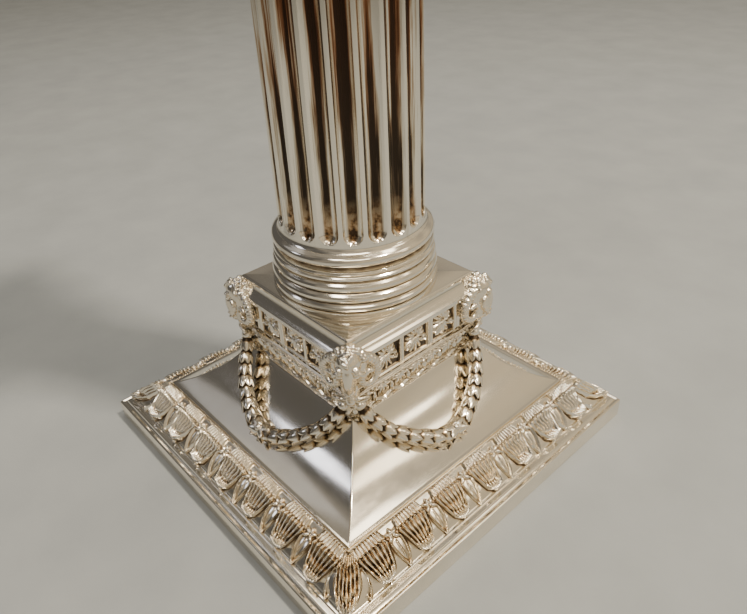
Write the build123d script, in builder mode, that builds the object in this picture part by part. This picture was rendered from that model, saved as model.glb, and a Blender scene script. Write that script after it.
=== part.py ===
from build123d import *
import os
from math import pi, sin

# A loaded silver candlestick in the form of a Corinthian column on a square stepped base.
# Units are millimetres.  +Z is up, the origin is the centre of the base on the table, and the
# square base is aligned with X and Y.  "Half" is the distance of a square's side from the axis.

# ---- driving dimensions -------------------------------------------------------------------
BASE_HALF = 63.5            # the foot is a 5 inch square
SHEET = 1.3                 # wall of the stamped silver shells, relief included

# heights of the joints between the pieces, from the table up
BAIZE_TOP = 1.0
RIM_TOP = 7.6               # top of the plain foot rim, where the leaf border starts
BORDER_TOP = 15.9           # top of the leaf border and of the plain band
DIE_BOTTOM = 33.0           # top of the hollow-curved riser
LOWER_FRIEZE_TOP = 40.2
UPPER_FRIEZE_BOTTOM = 42.0
UPPER_FRIEZE_TOP = 52.7
PLATE_TOP = 60.0            # flat top of the die, under the column
COLUMN_BASE_TOP = 78.6
SHAFT_TOP = 240.0
NECK_TOP = 244.0
BELL_TOP = 285.0
ABACUS_TOP = 292.0

# half widths of the square stages
RIM_FLANGE_HALF = 58.5      # inner edge of the rim's top flange
BORDER_OUTER_HALF = 60.3
BORDER_INNER_HALF = 48.2
DIE_HALF = 26.7             # lower frieze
UPPER_FRIEZE_HALF = 26.2
MOULDING_HALF = 27.5        # crest of the moulding between the friezes
DIE_BORE_HALF = 25.2        # inside of the hollow die
CORNICE_HALF = 28.0
PLATE_HALF = 25.0

# column
FLUTES = 20
FLUTE_RADIUS = 3.2          # radius of the hollow of a flute
FLUTE_DEPTH = 1.8
FLUTE_START_ANGLE = -39.4   # degrees from +X of one flute's middle line
SHAFT_FOOT_RADIUS = 21.7
SHAFT_HEAD_RADIUS = 19.9
SHAFT_BORE_FOOT = 19.0
SHAFT_BORE_HEAD = 17.2
FLUTE_FOOT = 83.8           # centres of the round ends of the flutes
FLUTE_HEAD = 232.6

# candle, nozzle and socket
CANDLE_BORE_RADIUS = 11.2   # takes a 22 mm dinner candle
CANDLE_DEPTH = 28.0
SLEEVE_RADIUS = 12.2        # outside of the nozzle's sleeve
SOCKET_RADIUS = 12.5        # 0.3 mm of room around the sleeve
SOCKET_WALL = 0.9
PAN_HALF = 30.0             # square drip pan of the nozzle
PAN_EDGE_HEIGHT = 4.4       # rise of the pan's edge over the abacus
NOZZLE_HEIGHT = 8.0         # nozzle above the abacus

# ornament
RAM_SKULL_TOP = 58.5
RAM_CHIN = 43.0
HORN_RADIUS = 4.8
HORN_WIDTH = 3.2
SWAG_RADIUS = 2.6
ACANTHUS_LEAVES = 8
ACANTHUS_THICKNESS = 1.3
VOLUTE_RADIUS = 4.2
VOLUTE_WIDTH = 6.0

# iron rod and the loading
ROD_RADIUS = 3.0
ROD_HOLE = 3.2
WASHER_RADIUS = 8.0
WASHER_THICKNESS = 1.2
NUT_ACROSS_CORNERS = 6.4
NUT_HEIGHT = 4.0

SIDES = ("right", "back", "left", "front")                              # every 90 degrees from +X
CORNERS = ("back_right", "back_left", "front_left", "front_right")      # every 90 degrees from 45

os.makedirs("parts", exist_ok=True)


# ---- helpers --------------------------------------------------------------------------------
def draw(outline):
    """Draw a closed outline: an entry is a corner, or a pair (middle, end) of an arc."""
    here = outline[0]
    for step in outline[1:]:
        if isinstance(step[0], tuple):
            ThreePointArc(here, step[0], step[1])
            here = step[1]
        else:
            Line(here, step)
            here = step
    if here != outline[0]:
        Line(here, outline[0])


def mitred_side(outline):
    """The +X side of a square ring, cut at 45 degrees at both ends.

    The outline's points are (distance from the axis, height)."""
    reach = 2 * BASE_HALF
    with BuildPart() as side:
        with BuildSketch(Plane.XZ):
            with BuildLine():
                draw(outline)
            make_face()
        extrude(amount=reach, both=True)
        with BuildSketch(Plane.XY):
            Polygon((0, 0), (reach, -reach), (reach, reach), align=None)
        extrude(amount=3 * reach, mode=Mode.INTERSECT)
    return side.part


def turned(outline):
    """A solid of revolution about the column's axis from (radius, height) points."""
    with BuildPart() as solid:
        with BuildSketch(Plane.XZ):
            with BuildLine():
                draw(outline)
            make_face()
        revolve(axis=Axis.Z)
    return solid.part


def bead(low, high, root, crest):
    """The arc of a round moulding between two heights, from its root to its crest."""
    return ((crest, (low + high) / 2), (root, high))


# shared curves: the pieces on both sides of a curve use the same one
BORDER_OUTER_CURVE = ((55.3, 13.1), (BORDER_INNER_HALF, BORDER_TOP))
BORDER_INNER_END = (BORDER_INNER_HALF, BORDER_TOP - SHEET)
BORDER_UNDERSIDE_MIDDLE = (54.4, 12.0)
BAND_INNER_HALF = 47.5      # inner edge of the plain band, where the hollow curve starts
RISER_TOP_INNER = (25.6, DIE_BOTTOM)
RISER_UNDERSIDE_MIDDLE = (35.2, 21.2)

# ---- foot: rim, leaf border, riser ------------------------------------------------------------
rim_side = mitred_side([
    (62.2, 0.0),
    (BASE_HALF, 0.0),
    (BASE_HALF, 6.4),
    ((63.3, 6.85), (62.85, 7.0)),
    (62.2, 6.8),
    (61.6, 7.1),
    (61.3, RIM_TOP),
    (RIM_FLANGE_HALF, RIM_TOP),
    (RIM_FLANGE_HALF, 6.2),
    (62.2, 6.2),
])
with BuildPart() as foot_rim:
    with PolarLocations(0, 4):
        add(rim_side)
foot_rim.part.label = "foot_rim"
export_step(foot_rim.part, "parts/foot_rim.step")

border_side = mitred_side([
    (RIM_FLANGE_HALF, RIM_TOP),
    (BORDER_OUTER_HALF, RIM_TOP),
    BORDER_OUTER_CURVE,
    BORDER_INNER_END,
    (BORDER_UNDERSIDE_MIDDLE, (RIM_FLANGE_HALF, RIM_TOP)),
])
for turn, side in enumerate(SIDES):
    with BuildPart() as leaf_border:
        with Locations(Location((0, 0, 0), (0, 0, 90 * turn))):
            add(border_side)
    leaf_border.part.label = f"leaf_border_{side}"
    export_step(leaf_border.part, f"parts/leaf_border_{side}.step")

riser_side = mitred_side([
    BORDER_INNER_END,
    (BORDER_INNER_HALF, BORDER_TOP),
    (BAND_INNER_HALF, BORDER_TOP),
    ((36.0, 22.2), (27.0, DIE_BOTTOM)),
    RISER_TOP_INNER,
    (RISER_UNDERSIDE_MIDDLE, (BAND_INNER_HALF, BORDER_TOP - SHEET)),
])
with BuildPart() as plinth_riser:
    with PolarLocations(0, 4):
        add(riser_side)
plinth_riser.part.label = "plinth_riser"
export_step(plinth_riser.part, "parts/plinth_riser.step")

# ---- die: two friezes, the moulding between them, and the cornice with the top plate ----------
lower_frieze_side = mitred_side([
    (DIE_BORE_HALF, DIE_BOTTOM),
    (DIE_HALF, DIE_BOTTOM),
    (DIE_HALF, LOWER_FRIEZE_TOP),
    (DIE_BORE_HALF, LOWER_FRIEZE_TOP),
])
with BuildPart() as frieze_lower:
    with PolarLocations(0, 4):
        add(lower_frieze_side)
frieze_lower.part.label = "frieze_lower"
export_step(frieze_lower.part, "parts/frieze_lower.step")

moulding_side = mitred_side([
    (DIE_BORE_HALF, LOWER_FRIEZE_TOP),
    (26.8, LOWER_FRIEZE_TOP),
    bead(LOWER_FRIEZE_TOP, UPPER_FRIEZE_BOTTOM, 26.8, MOULDING_HALF),
    (DIE_BORE_HALF, UPPER_FRIEZE_BOTTOM),
])
with BuildPart() as die_moulding:
    with PolarLocations(0, 4):
        add(moulding_side)
die_moulding.part.label = "die_moulding"
export_step(die_moulding.part, "parts/die_moulding.step")

upper_frieze_side = mitred_side([
    (DIE_BORE_HALF, UPPER_FRIEZE_BOTTOM),
    (UPPER_FRIEZE_HALF, UPPER_FRIEZE_BOTTOM),
    (UPPER_FRIEZE_HALF, UPPER_FRIEZE_TOP),
    (DIE_BORE_HALF, UPPER_FRIEZE_TOP),
])
with BuildPart() as frieze_upper:
    with PolarLocations(0, 4):
        add(upper_frieze_side)
frieze_upper.part.label = "frieze_upper"
export_step(frieze_upper.part, "parts/frieze_upper.step")

CORNICE_FILLET_TOP = 54.5
CORNICE_BORE_TOP = (23.8, PLATE_TOP - 1.2)
cornice_side = mitred_side([
    (0.0, PLATE_TOP - 1.2),
    CORNICE_BORE_TOP,
    (DIE_BORE_HALF, 54.0),
    (DIE_BORE_HALF, UPPER_FRIEZE_TOP),
    (CORNICE_HALF, UPPER_FRIEZE_TOP),
    (CORNICE_HALF, CORNICE_FILLET_TOP),
    ((26.1, 56.6), (PLATE_HALF, PLATE_TOP)),
    (0.0, PLATE_TOP),
])
with BuildPart() as cornice:
    with PolarLocations(0, 4):
        add(cornice_side)
    with Locations((0, 0, PLATE_TOP)):
        Hole(ROD_HOLE)
cornice.part.label = "cornice"
export_step(cornice.part, "parts/cornice.step")

# ---- ram's heads on the corners of the die ------------------------------------------------------
# drawn with +X as the outward diagonal: (height, distance out, half depth, half width)
RAM_SECTIONS = (
    (RAM_CHIN, 40.9, 1.9, 1.9),
    (45.5, 41.8, 2.4, 2.4),
    (49.0, 41.2, 3.0, 3.1),
    (52.5, 40.2, 3.6, 4.0),
    (56.0, 38.9, 3.4, 4.2),
    (RAM_SKULL_TOP, 37.4, 2.0, 2.6),
)
HORN_CENTRE = (37.8, 51.2)  # distance out and height of the horn's spiral
KNOT_TOP = 43.6             # ribbon knot under the chin, which takes the ends of two swags
KNOT_BOTTOM = 36.5
KNOT_OUT = 38.6
KNOT_RADIUS = 2.6
HEAD_HALF_WIDTH = 8.0       # over the horns

for turn, corner in enumerate(CORNERS):
    with BuildPart() as ram_head:
        for height, out, depth, width in RAM_SECTIONS:
            with BuildSketch(Plane.XY.offset(height)):
                with Locations((out, 0)):
                    Ellipse(depth, width)
        loft()
        for side in (-1, 1):
            horn_place = (HORN_CENTRE[0], side * (HEAD_HALF_WIDTH - HORN_WIDTH / 2), HORN_CENTRE[1])
            with Locations(Location(horn_place, (90, 0, 0))):
                Cylinder(HORN_RADIUS, HORN_WIDTH)
                Cylinder(HORN_RADIUS / 2, 2 * HORN_WIDTH)
        with Locations((KNOT_OUT, 0, (KNOT_TOP + KNOT_BOTTOM) / 2)):
            Cylinder(KNOT_RADIUS, KNOT_TOP - KNOT_BOTTOM)
        with Locations(Location((0, 0, (DIE_BOTTOM + UPPER_FRIEZE_TOP) / 2), (0, 0, 45))):
            Box(2 * MOULDING_HALF, 2 * MOULDING_HALF, UPPER_FRIEZE_TOP - DIE_BOTTOM, mode=Mode.SUBTRACT)
        with Locations(Location((0, 0, 0), (0, 0, 45))):
            add(cornice.part, mode=Mode.SUBTRACT)
    ram_head.part = ram_head.part.rotate(Axis.Z, 45 + 90 * turn)
    ram_head.part.label = f"ram_head_{corner}"
    export_step(ram_head.part, f"parts/ram_head_{corner}.step")

# ---- laurel swags between the ram's heads ----------------------------------------------------------
SWAG_END = (28.0, 24.6, 38.2)       # distance out, distance along the side, height
SWAG_MIDDLE = (41.6, 0.0, 20.9)

for turn, side in enumerate(SIDES):
    with BuildPart() as swag:
        with BuildLine() as swag_line:
            ThreePointArc((SWAG_END[0], -SWAG_END[1], SWAG_END[2]), SWAG_MIDDLE, SWAG_END)
        with BuildSketch(Plane(origin=swag_line.line @ 0, z_dir=swag_line.line % 0)):
            Circle(SWAG_RADIUS)
        sweep()
    swag.part = swag.part.rotate(Axis.Z, 90 * turn)
    swag.part.label = f"swag_{side}"
    export_step(swag.part, f"parts/swag_{side}.step")

# ---- column: moulded base, fluted shaft and neck ring ------------------------------------------------
# round mouldings of the column's base: (low, high, root radius, crest radius)
BASE_BEADS = (
    (61.5, 63.7, 24.7, 25.4),
    (64.2, 66.9, 24.4, 25.3),
    (67.3, 70.2, 24.0, 24.9),
    (70.9, 72.2, 23.8, 24.4),
    (72.5, 73.9, 23.5, 24.3),
    (75.0, 78.2, 23.2, 24.4),
)
base_outline = [(SHAFT_BORE_FOOT, PLATE_TOP), (25.4, PLATE_TOP), (25.4, 61.1), (24.7, 61.3)]
for low, high, root, crest in BASE_BEADS:
    base_outline.append((root, low))
    base_outline.append(bead(low, high, root, crest))
base_outline += [(22.6, COLUMN_BASE_TOP), (SHAFT_BORE_FOOT, COLUMN_BASE_TOP)]
base_rings = turned(base_outline)
with BuildPart() as column_base:
    add(base_rings)
column_base.part.label = "column_base"
export_step(column_base.part, "parts/column_base.step")

# one flute: a round-ended bar that leans inwards with the taper of the shaft
flute_foot = Vector(SHAFT_FOOT_RADIUS - FLUTE_DEPTH + FLUTE_RADIUS, 0, FLUTE_FOOT)
flute_head = Vector(SHAFT_HEAD_RADIUS - FLUTE_DEPTH + FLUTE_RADIUS, 0, FLUTE_HEAD)
flute_length = (flute_head - flute_foot).length
end_mid = FLUTE_RADIUS * sin(pi / 4)
upright_flute = turned([
    (0.0, -FLUTE_RADIUS),
    ((end_mid, -end_mid), (FLUTE_RADIUS, 0.0)),
    (FLUTE_RADIUS, flute_length),
    ((end_mid, flute_length + end_mid), (0.0, flute_length + FLUTE_RADIUS)),
])
flute = Plane(origin=flute_foot, z_dir=flute_head - flute_foot).location * upright_flute

shaft_blank = turned([
    (SHAFT_BORE_FOOT, COLUMN_BASE_TOP),
    (22.5, COLUMN_BASE_TOP),
    ((21.95, 79.1), (SHAFT_FOOT_RADIUS, 80.3)),
    (SHAFT_HEAD_RADIUS, 236.0),
    ((20.3, 237.3), (21.2, 238.2)),
    (21.2, SHAFT_TOP),
    (SHAFT_BORE_HEAD, SHAFT_TOP),
])
with BuildPart() as column_shaft:
    add(shaft_blank)
    with PolarLocations(0, FLUTES, start_angle=FLUTE_START_ANGLE):
        add(flute, mode=Mode.SUBTRACT)
column_shaft.part.label = "column_shaft"
export_step(column_shaft.part, "parts/column_shaft.step")

neck_blank = turned([
    (SHAFT_BORE_HEAD, SHAFT_TOP),
    (21.4, SHAFT_TOP),
    bead(SHAFT_TOP, 242.8, 21.4, 22.6),
    (20.9, 243.1),
    (20.9, NECK_TOP),
    (SHAFT_BORE_HEAD, NECK_TOP),
])
with BuildPart() as neck_ring:
    add(neck_blank)
neck_ring.part.label = "neck_ring"
export_step(neck_ring.part, "parts/neck_ring.step")

# ---- Corinthian capital ----------------------------------------------------------------------------------
BELL_FOOT_RADIUS = 19.2
BELL_WAIST = 264.0          # height where the bell starts to flare
BELL_LIP_RADIUS = 25.0
BELL_FLARE_MIDDLE = (20.7, 275.5)
BELL_WALL = 1.2
bell_blank = turned([
    (BELL_FOOT_RADIUS - BELL_WALL, NECK_TOP),
    (BELL_FOOT_RADIUS, NECK_TOP),
    (BELL_FOOT_RADIUS, BELL_WAIST),
    (BELL_FLARE_MIDDLE, (BELL_LIP_RADIUS, BELL_TOP)),
    (BELL_LIP_RADIUS - 1.7, BELL_TOP),
    ((19.4, 276.0), (BELL_FOOT_RADIUS - BELL_WALL, BELL_WAIST)),
])
with BuildPart() as capital_bell:
    add(bell_blank)
capital_bell.part.label = "capital_bell"
export_step(capital_bell.part, "parts/capital_bell.step")


def leaf_gaps(foot, tip, reach):
    """Wedges between the leaves of a tier: they open towards the tips."""
    pitch = 2 * pi / ACANTHUS_LEAVES
    half_gap = reach * sin(0.24 * pitch)
    with BuildPart() as gap:
        with BuildSketch(Plane.YZ.offset(reach - 14)):
            Polygon((0, foot), (half_gap, tip), (half_gap, tip + 6), (-half_gap, tip + 6), (-half_gap, tip), align=None)
        extrude(amount=28)
    return gap.part


UPPER_TIER_RADIUS = BELL_FOOT_RADIUS + ACANTHUS_THICKNESS
upper_blank = turned([
    (BELL_FOOT_RADIUS, NECK_TOP),
    (UPPER_TIER_RADIUS, NECK_TOP),
    (UPPER_TIER_RADIUS, BELL_WAIST),
    ((22.0, 271.0), (26.4, 273.2)),
    ((28.0, 272.0), (28.2, 269.6)),
    (29.2, 270.0),
    ((28.9, 273.6), (26.4, 274.9)),
    ((21.2, 270.5), (BELL_FOOT_RADIUS, BELL_WAIST)),
])
upper_gap = leaf_gaps(254.0, 270.0, 26.0)
with BuildPart() as acanthus_upper:
    add(upper_blank)
    with PolarLocations(0, ACANTHUS_LEAVES, start_angle=180 / ACANTHUS_LEAVES):
        add(upper_gap, mode=Mode.SUBTRACT)
acanthus_upper.part.label = "acanthus_upper"
export_step(acanthus_upper.part, "parts/acanthus_upper.step")

LOWER_TIER_RADIUS = UPPER_TIER_RADIUS + ACANTHUS_THICKNESS
lower_blank = turned([
    (UPPER_TIER_RADIUS, NECK_TOP),
    (LOWER_TIER_RADIUS, NECK_TOP),
    (LOWER_TIER_RADIUS, 253.0),
    ((22.8, 257.4), (26.0, 258.8)),
    ((27.3, 257.8), (27.5, 255.8)),
    (28.4, 256.2),
    ((28.2, 259.4), (26.0, 260.5)),
    ((22.1, 257.6), (UPPER_TIER_RADIUS, 253.0)),
])
lower_gap = leaf_gaps(246.5, 257.0, 26.0)
with BuildPart() as acanthus_lower:
    add(lower_blank)
    with PolarLocations(0, ACANTHUS_LEAVES, start_angle=0):
        add(lower_gap, mode=Mode.SUBTRACT)
acanthus_lower.part.label = "acanthus_lower"
export_step(acanthus_lower.part, "parts/acanthus_lower.step")

# corner scrolls: drawn in the plane of the diagonal, (distance out, height)
VOLUTE_CENTRE = (32.6, 279.6)
for turn, corner in enumerate(CORNERS):
    with BuildPart() as volute:
        with BuildSketch(Plane.XZ):
            with BuildLine():
                draw([
                    (20.4, 275.8),
                    ((25.6, 281.8), (VOLUTE_CENTRE[0], VOLUTE_CENTRE[1] + VOLUTE_RADIUS)),
                    (VOLUTE_CENTRE[0], VOLUTE_CENTRE[1] + 1.6),
                    ((27.9, 279.4), (24.8, 276.2)),
                ])
            make_face()
        extrude(amount=VOLUTE_WIDTH / 2, both=True)
        with Locations(Location((VOLUTE_CENTRE[0], 0, VOLUTE_CENTRE[1]), (90, 0, 0))):
            Cylinder(VOLUTE_RADIUS, VOLUTE_WIDTH)
        with Locations(Location((0, 0, 0), (0, 0, -45))):
            add(capital_bell.part, mode=Mode.SUBTRACT)
    volute.part = volute.part.rotate(Axis.Z, 45 + 90 * turn)
    volute.part.label = f"volute_{corner}"
    export_step(volute.part, f"parts/volute_{corner}.step")

# abacus: a square slab with hollow sides and cut corners
ABACUS_HALF = 29.0
ABACUS_CORNER = 24.6        # where the hollow sides stop and the cut corners start
ABACUS_WAIST = 23.4         # half width at the middle of a hollow side
ABACUS_STEP = 1.4           # the lower half of the slab stands back by this much
socket_outer = SOCKET_RADIUS + SOCKET_WALL


def abacus_plan(inset):
    """The outline of the abacus, inset all round."""
    half, corner, waist = ABACUS_HALF - inset, ABACUS_CORNER - inset / 2, ABACUS_WAIST - inset
    with BuildSketch() as plan:
        with BuildLine():
            draw([
                (half, -corner),
                ((waist, 0), (half, corner)),
                (corner, half),
                ((0, waist), (-corner, half)),
                (-half, corner),
                ((-waist, 0), (-half, -corner)),
                (-corner, -half),
                ((0, -waist), (corner, -half)),
            ])
        make_face()
    return plan.sketch


lower_plan = abacus_plan(ABACUS_STEP)
upper_plan = abacus_plan(0)
abacus_middle = (BELL_TOP + ABACUS_TOP) / 2
with BuildPart() as abacus:
    with BuildSketch(Plane.XY.offset(BELL_TOP)):
        add(lower_plan)
    extrude(amount=abacus_middle - BELL_TOP)
    with BuildSketch(Plane.XY.offset(abacus_middle)):
        add(upper_plan)
    extrude(amount=ABACUS_TOP - abacus_middle)
    with Locations((0, 0, ABACUS_TOP)):
        Hole(socket_outer)
abacus.part.label = "abacus"
export_step(abacus.part, "parts/abacus.step")

# a flower on the middle of each hollow side
FLEURON_RADIUS = 3.2
FLEURON_DEPTH = 2.4
for turn, side in enumerate(SIDES):
    with BuildPart() as fleuron:
        with Locations(Location((ABACUS_WAIST + FLEURON_DEPTH / 2, 0, abacus_middle), (0, 90, 0))):
            Cylinder(FLEURON_RADIUS, FLEURON_DEPTH)
        with Locations((ABACUS_WAIST + FLEURON_DEPTH, 0, abacus_middle)):
            Sphere(FLEURON_RADIUS / 2)
        add(abacus.part, mode=Mode.SUBTRACT)
    fleuron.part = fleuron.part.rotate(Axis.Z, 90 * turn)
    fleuron.part.label = f"fleuron_{side}"
    export_step(fleuron.part, f"parts/fleuron_{side}.step")

# ---- socket in the capital, and the nozzle that lifts out of it -------------------------------------------
sleeve_bottom = ABACUS_TOP + NOZZLE_HEIGHT - CANDLE_DEPTH - SHEET
socket_floor = sleeve_bottom - 1.2
with BuildPart() as candle_socket:
    with BuildSketch(Plane.XY.offset(socket_floor - SOCKET_WALL)):
        Circle(socket_outer)
    extrude(amount=ABACUS_TOP - socket_floor + SOCKET_WALL)
    with BuildSketch(Plane.XY.offset(socket_floor)):
        Circle(SOCKET_RADIUS)
    extrude(amount=ABACUS_TOP - socket_floor, mode=Mode.SUBTRACT)
candle_socket.part.label = "candle_socket"
export_step(candle_socket.part, "parts/candle_socket.step")

COLLAR_RADIUS = 14.6
PAN_SHEET = 1.4
with BuildPart() as nozzle_sleeve:
    with BuildSketch(Plane.XY.offset(sleeve_bottom)):
        Circle(SLEEVE_RADIUS)
    extrude(amount=ABACUS_TOP + NOZZLE_HEIGHT - sleeve_bottom)
    with BuildSketch(Plane.XY.offset(sleeve_bottom + SHEET)):
        Circle(CANDLE_BORE_RADIUS)
    extrude(amount=CANDLE_DEPTH, mode=Mode.SUBTRACT)
nozzle_sleeve.part.label = "nozzle_sleeve"
export_step(nozzle_sleeve.part, "parts/nozzle_sleeve.step")

pan_side = mitred_side([
    (0.0, ABACUS_TOP),
    (20.0, ABACUS_TOP),
    ((25.6, ABACUS_TOP + 1.3), (PAN_HALF, ABACUS_TOP + PAN_EDGE_HEIGHT)),
    (PAN_HALF - 0.9, ABACUS_TOP + PAN_EDGE_HEIGHT + 0.9),
    ((24.9, ABACUS_TOP + 2.6), (19.6, ABACUS_TOP + PAN_SHEET)),
    (0.0, ABACUS_TOP + PAN_SHEET),
])
with BuildPart() as drip_pan:
    with PolarLocations(0, 4):
        add(pan_side)
    with Locations((0, 0, ABACUS_TOP + PAN_SHEET)):
        Hole(SLEEVE_RADIUS)
drip_pan.part.label = "drip_pan"
export_step(drip_pan.part, "parts/drip_pan.step")

pan_border_side = mitred_side([
    (PAN_HALF - 0.9, ABACUS_TOP + PAN_EDGE_HEIGHT + 0.9),
    (PAN_HALF, ABACUS_TOP + PAN_EDGE_HEIGHT),
    (PAN_HALF + 0.6, ABACUS_TOP + PAN_EDGE_HEIGHT + 0.5),
    ((PAN_HALF + 0.8, ABACUS_TOP + 6.9), (PAN_HALF - 1.2, ABACUS_TOP + 7.0)),
    ((PAN_HALF - 2.0, ABACUS_TOP + 6.2), (PAN_HALF - 1.7, ABACUS_TOP + PAN_EDGE_HEIGHT + 1.3)),
])
with BuildPart() as drip_pan_border:
    with PolarLocations(0, 4):
        add(pan_border_side)
    add(drip_pan.part, mode=Mode.SUBTRACT)
drip_pan_border.part.label = "drip_pan_border"
export_step(drip_pan_border.part, "parts/drip_pan_border.step")

collar_blank = turned([
    (SLEEVE_RADIUS, ABACUS_TOP + PAN_SHEET),
    (COLLAR_RADIUS, ABACUS_TOP + PAN_SHEET),
    ((13.2, ABACUS_TOP + 3.0), (13.0, ABACUS_TOP + 6.0)),
    (13.6, ABACUS_TOP + 6.4),
    bead(ABACUS_TOP + 6.4, ABACUS_TOP + NOZZLE_HEIGHT, 13.0, 13.9),
    (SLEEVE_RADIUS, ABACUS_TOP + NOZZLE_HEIGHT),
])
with BuildPart() as nozzle_collar:
    add(collar_blank)
nozzle_collar.part.label = "nozzle_collar"
export_step(nozzle_collar.part, "parts/nozzle_collar.step")

# ---- inside: iron rod, its nuts and washers, and the loading -------------------------------------------------
LOADING_TOP = 246.0         # the column's loading stops under the upper washer
BOARD_TOP = 6.2
BOARD_HALF = 62.0
ROD_BOTTOM = 1.6
lower_washer_bottom = BOARD_TOP - WASHER_THICKNESS
lower_nut_bottom = lower_washer_bottom - 2.8
upper_nut_bottom = LOADING_TOP + WASHER_THICKNESS
rod_top = upper_nut_bottom + NUT_HEIGHT + 1.5

with BuildPart() as base_board:
    with BuildSketch(Plane.XY.offset(BAIZE_TOP)):
        Rectangle(2 * BOARD_HALF, 2 * BOARD_HALF)
    extrude(amount=BOARD_TOP - BAIZE_TOP)
    with BuildSketch(Plane.XY.offset(BAIZE_TOP)):
        Circle(WASHER_RADIUS + 0.3)
    extrude(amount=BOARD_TOP - BAIZE_TOP, mode=Mode.SUBTRACT)
base_board.part.label = "base_board"
export_step(base_board.part, "parts/base_board.step")

with BuildPart() as baize:
    with BuildSketch():
        Rectangle(2 * BOARD_HALF, 2 * BOARD_HALF)
    extrude(amount=BAIZE_TOP)
    fillet(baize.edges().filter_by(Axis.Z), radius=1.5)
baize.part.label = "baize"
export_step(baize.part, "parts/baize.step")

with BuildPart() as tie_rod:
    with BuildSketch(Plane.XY.offset(ROD_BOTTOM)):
        Circle(ROD_RADIUS)
    extrude(amount=rod_top - ROD_BOTTOM)
    chamfer(tie_rod.edges().filter_by(GeomType.CIRCLE), length=0.5)
tie_rod.part.label = "tie_rod"
export_step(tie_rod.part, "parts/tie_rod.step")

for level, washer_bottom, nut_bottom, nut_height in (
    ("lower", lower_washer_bottom, lower_nut_bottom, 2.8),
    ("upper", LOADING_TOP, upper_nut_bottom, NUT_HEIGHT),
):
    with BuildPart() as washer:
        with BuildSketch(Plane.XY.offset(washer_bottom)):
            Circle(WASHER_RADIUS)
            Circle(ROD_HOLE, mode=Mode.SUBTRACT)
        extrude(amount=WASHER_THICKNESS)
    washer.part.label = f"{level}_washer"
    export_step(washer.part, f"parts/{level}_washer.step")

    with BuildPart() as nut:
        with BuildSketch(Plane.XY.offset(nut_bottom)):
            RegularPolygon(NUT_ACROSS_CORNERS, 6)
            Circle(ROD_RADIUS, mode=Mode.SUBTRACT)
        extrude(amount=nut_height)
    nut.part.label = f"{level}_nut"
    export_step(nut.part, f"parts/{level}_nut.step")

base_loading_side = mitred_side([
    (0.0, BOARD_TOP),
    (RIM_FLANGE_HALF, BOARD_TOP),
    (RIM_FLANGE_HALF, RIM_TOP),
    (BORDER_UNDERSIDE_MIDDLE, BORDER_INNER_END),
    (BAND_INNER_HALF, BORDER_TOP - SHEET),
    (RISER_UNDERSIDE_MIDDLE, RISER_TOP_INNER),
    (DIE_BORE_HALF, DIE_BOTTOM),
    (DIE_BORE_HALF, 54.0),
    CORNICE_BORE_TOP,
    (0.0, PLATE_TOP - 1.2),
])
with BuildPart() as base_loading:
    with PolarLocations(0, 4):
        add(base_loading_side)
    with Locations((0, 0, PLATE_TOP - 1.2)):
        Hole(ROD_HOLE)
base_loading.part.label = "base_loading"
export_step(base_loading.part, "parts/base_loading.step")

column_core = turned([
    (ROD_HOLE, PLATE_TOP),
    (SHAFT_BORE_FOOT, PLATE_TOP),
    (SHAFT_BORE_FOOT, COLUMN_BASE_TOP),
    (SHAFT_BORE_HEAD, SHAFT_TOP),
    (SHAFT_BORE_HEAD, LOADING_TOP),
    (ROD_HOLE, LOADING_TOP),
])
with BuildPart() as column_loading:
    add(column_core)
column_loading.part.label = "column_loading"
export_step(column_loading.part, "parts/column_loading.step")

CAPITAL_LOADING_BOTTOM = 256.0
capital_core = turned([
    (socket_outer, BELL_WAIST),
    (BELL_FOOT_RADIUS - BELL_WALL, BELL_WAIST),
    ((19.4, 276.0), (BELL_LIP_RADIUS - 1.7, BELL_TOP)),
    (socket_outer, BELL_TOP),
])
with BuildPart() as capital_loading:
    add(capital_core)
    with BuildSketch(Plane.XY.offset(CAPITAL_LOADING_BOTTOM)):
        Circle(BELL_FOOT_RADIUS - BELL_WALL)
    extrude(amount=BELL_WAIST - CAPITAL_LOADING_BOTTOM)
    add(candle_socket.part, mode=Mode.SUBTRACT)
capital_loading.part.label = "capital_loading"
export_step(capital_loading.part, "parts/capital_loading.step")
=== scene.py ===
# The looks of a loaded silver candlestick in the form of a Corinthian column.
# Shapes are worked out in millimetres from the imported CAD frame, and meshes are made in metres.
import math

import bmesh
import bpy
import numpy as np
from mathutils import Matrix, Vector


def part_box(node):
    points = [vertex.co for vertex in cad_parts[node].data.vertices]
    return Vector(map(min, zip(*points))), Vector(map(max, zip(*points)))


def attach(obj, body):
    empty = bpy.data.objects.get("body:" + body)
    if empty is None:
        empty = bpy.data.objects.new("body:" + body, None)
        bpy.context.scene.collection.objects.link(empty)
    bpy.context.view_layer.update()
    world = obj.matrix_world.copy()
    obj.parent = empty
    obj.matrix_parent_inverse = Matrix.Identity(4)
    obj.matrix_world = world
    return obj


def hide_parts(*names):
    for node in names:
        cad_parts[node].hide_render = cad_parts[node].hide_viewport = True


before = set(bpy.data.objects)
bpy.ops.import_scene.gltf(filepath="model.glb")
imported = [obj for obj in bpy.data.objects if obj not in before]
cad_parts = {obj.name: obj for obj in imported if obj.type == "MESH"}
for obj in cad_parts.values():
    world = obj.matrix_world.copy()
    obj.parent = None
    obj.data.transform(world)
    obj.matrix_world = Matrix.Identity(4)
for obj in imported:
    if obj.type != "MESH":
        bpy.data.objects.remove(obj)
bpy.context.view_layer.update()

MM = 0.001
BOX = {name: [np.array(corner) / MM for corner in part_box(name)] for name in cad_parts}
SIDES = ("right", "back", "left", "front")                              # every 90 degrees from +X
CORNERS = ("back_right", "back_left", "front_left", "front_right")      # every 90 degrees from 45


def top(node):
    """Height of a CAD node's highest point."""
    return BOX[node][1][2]


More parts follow.
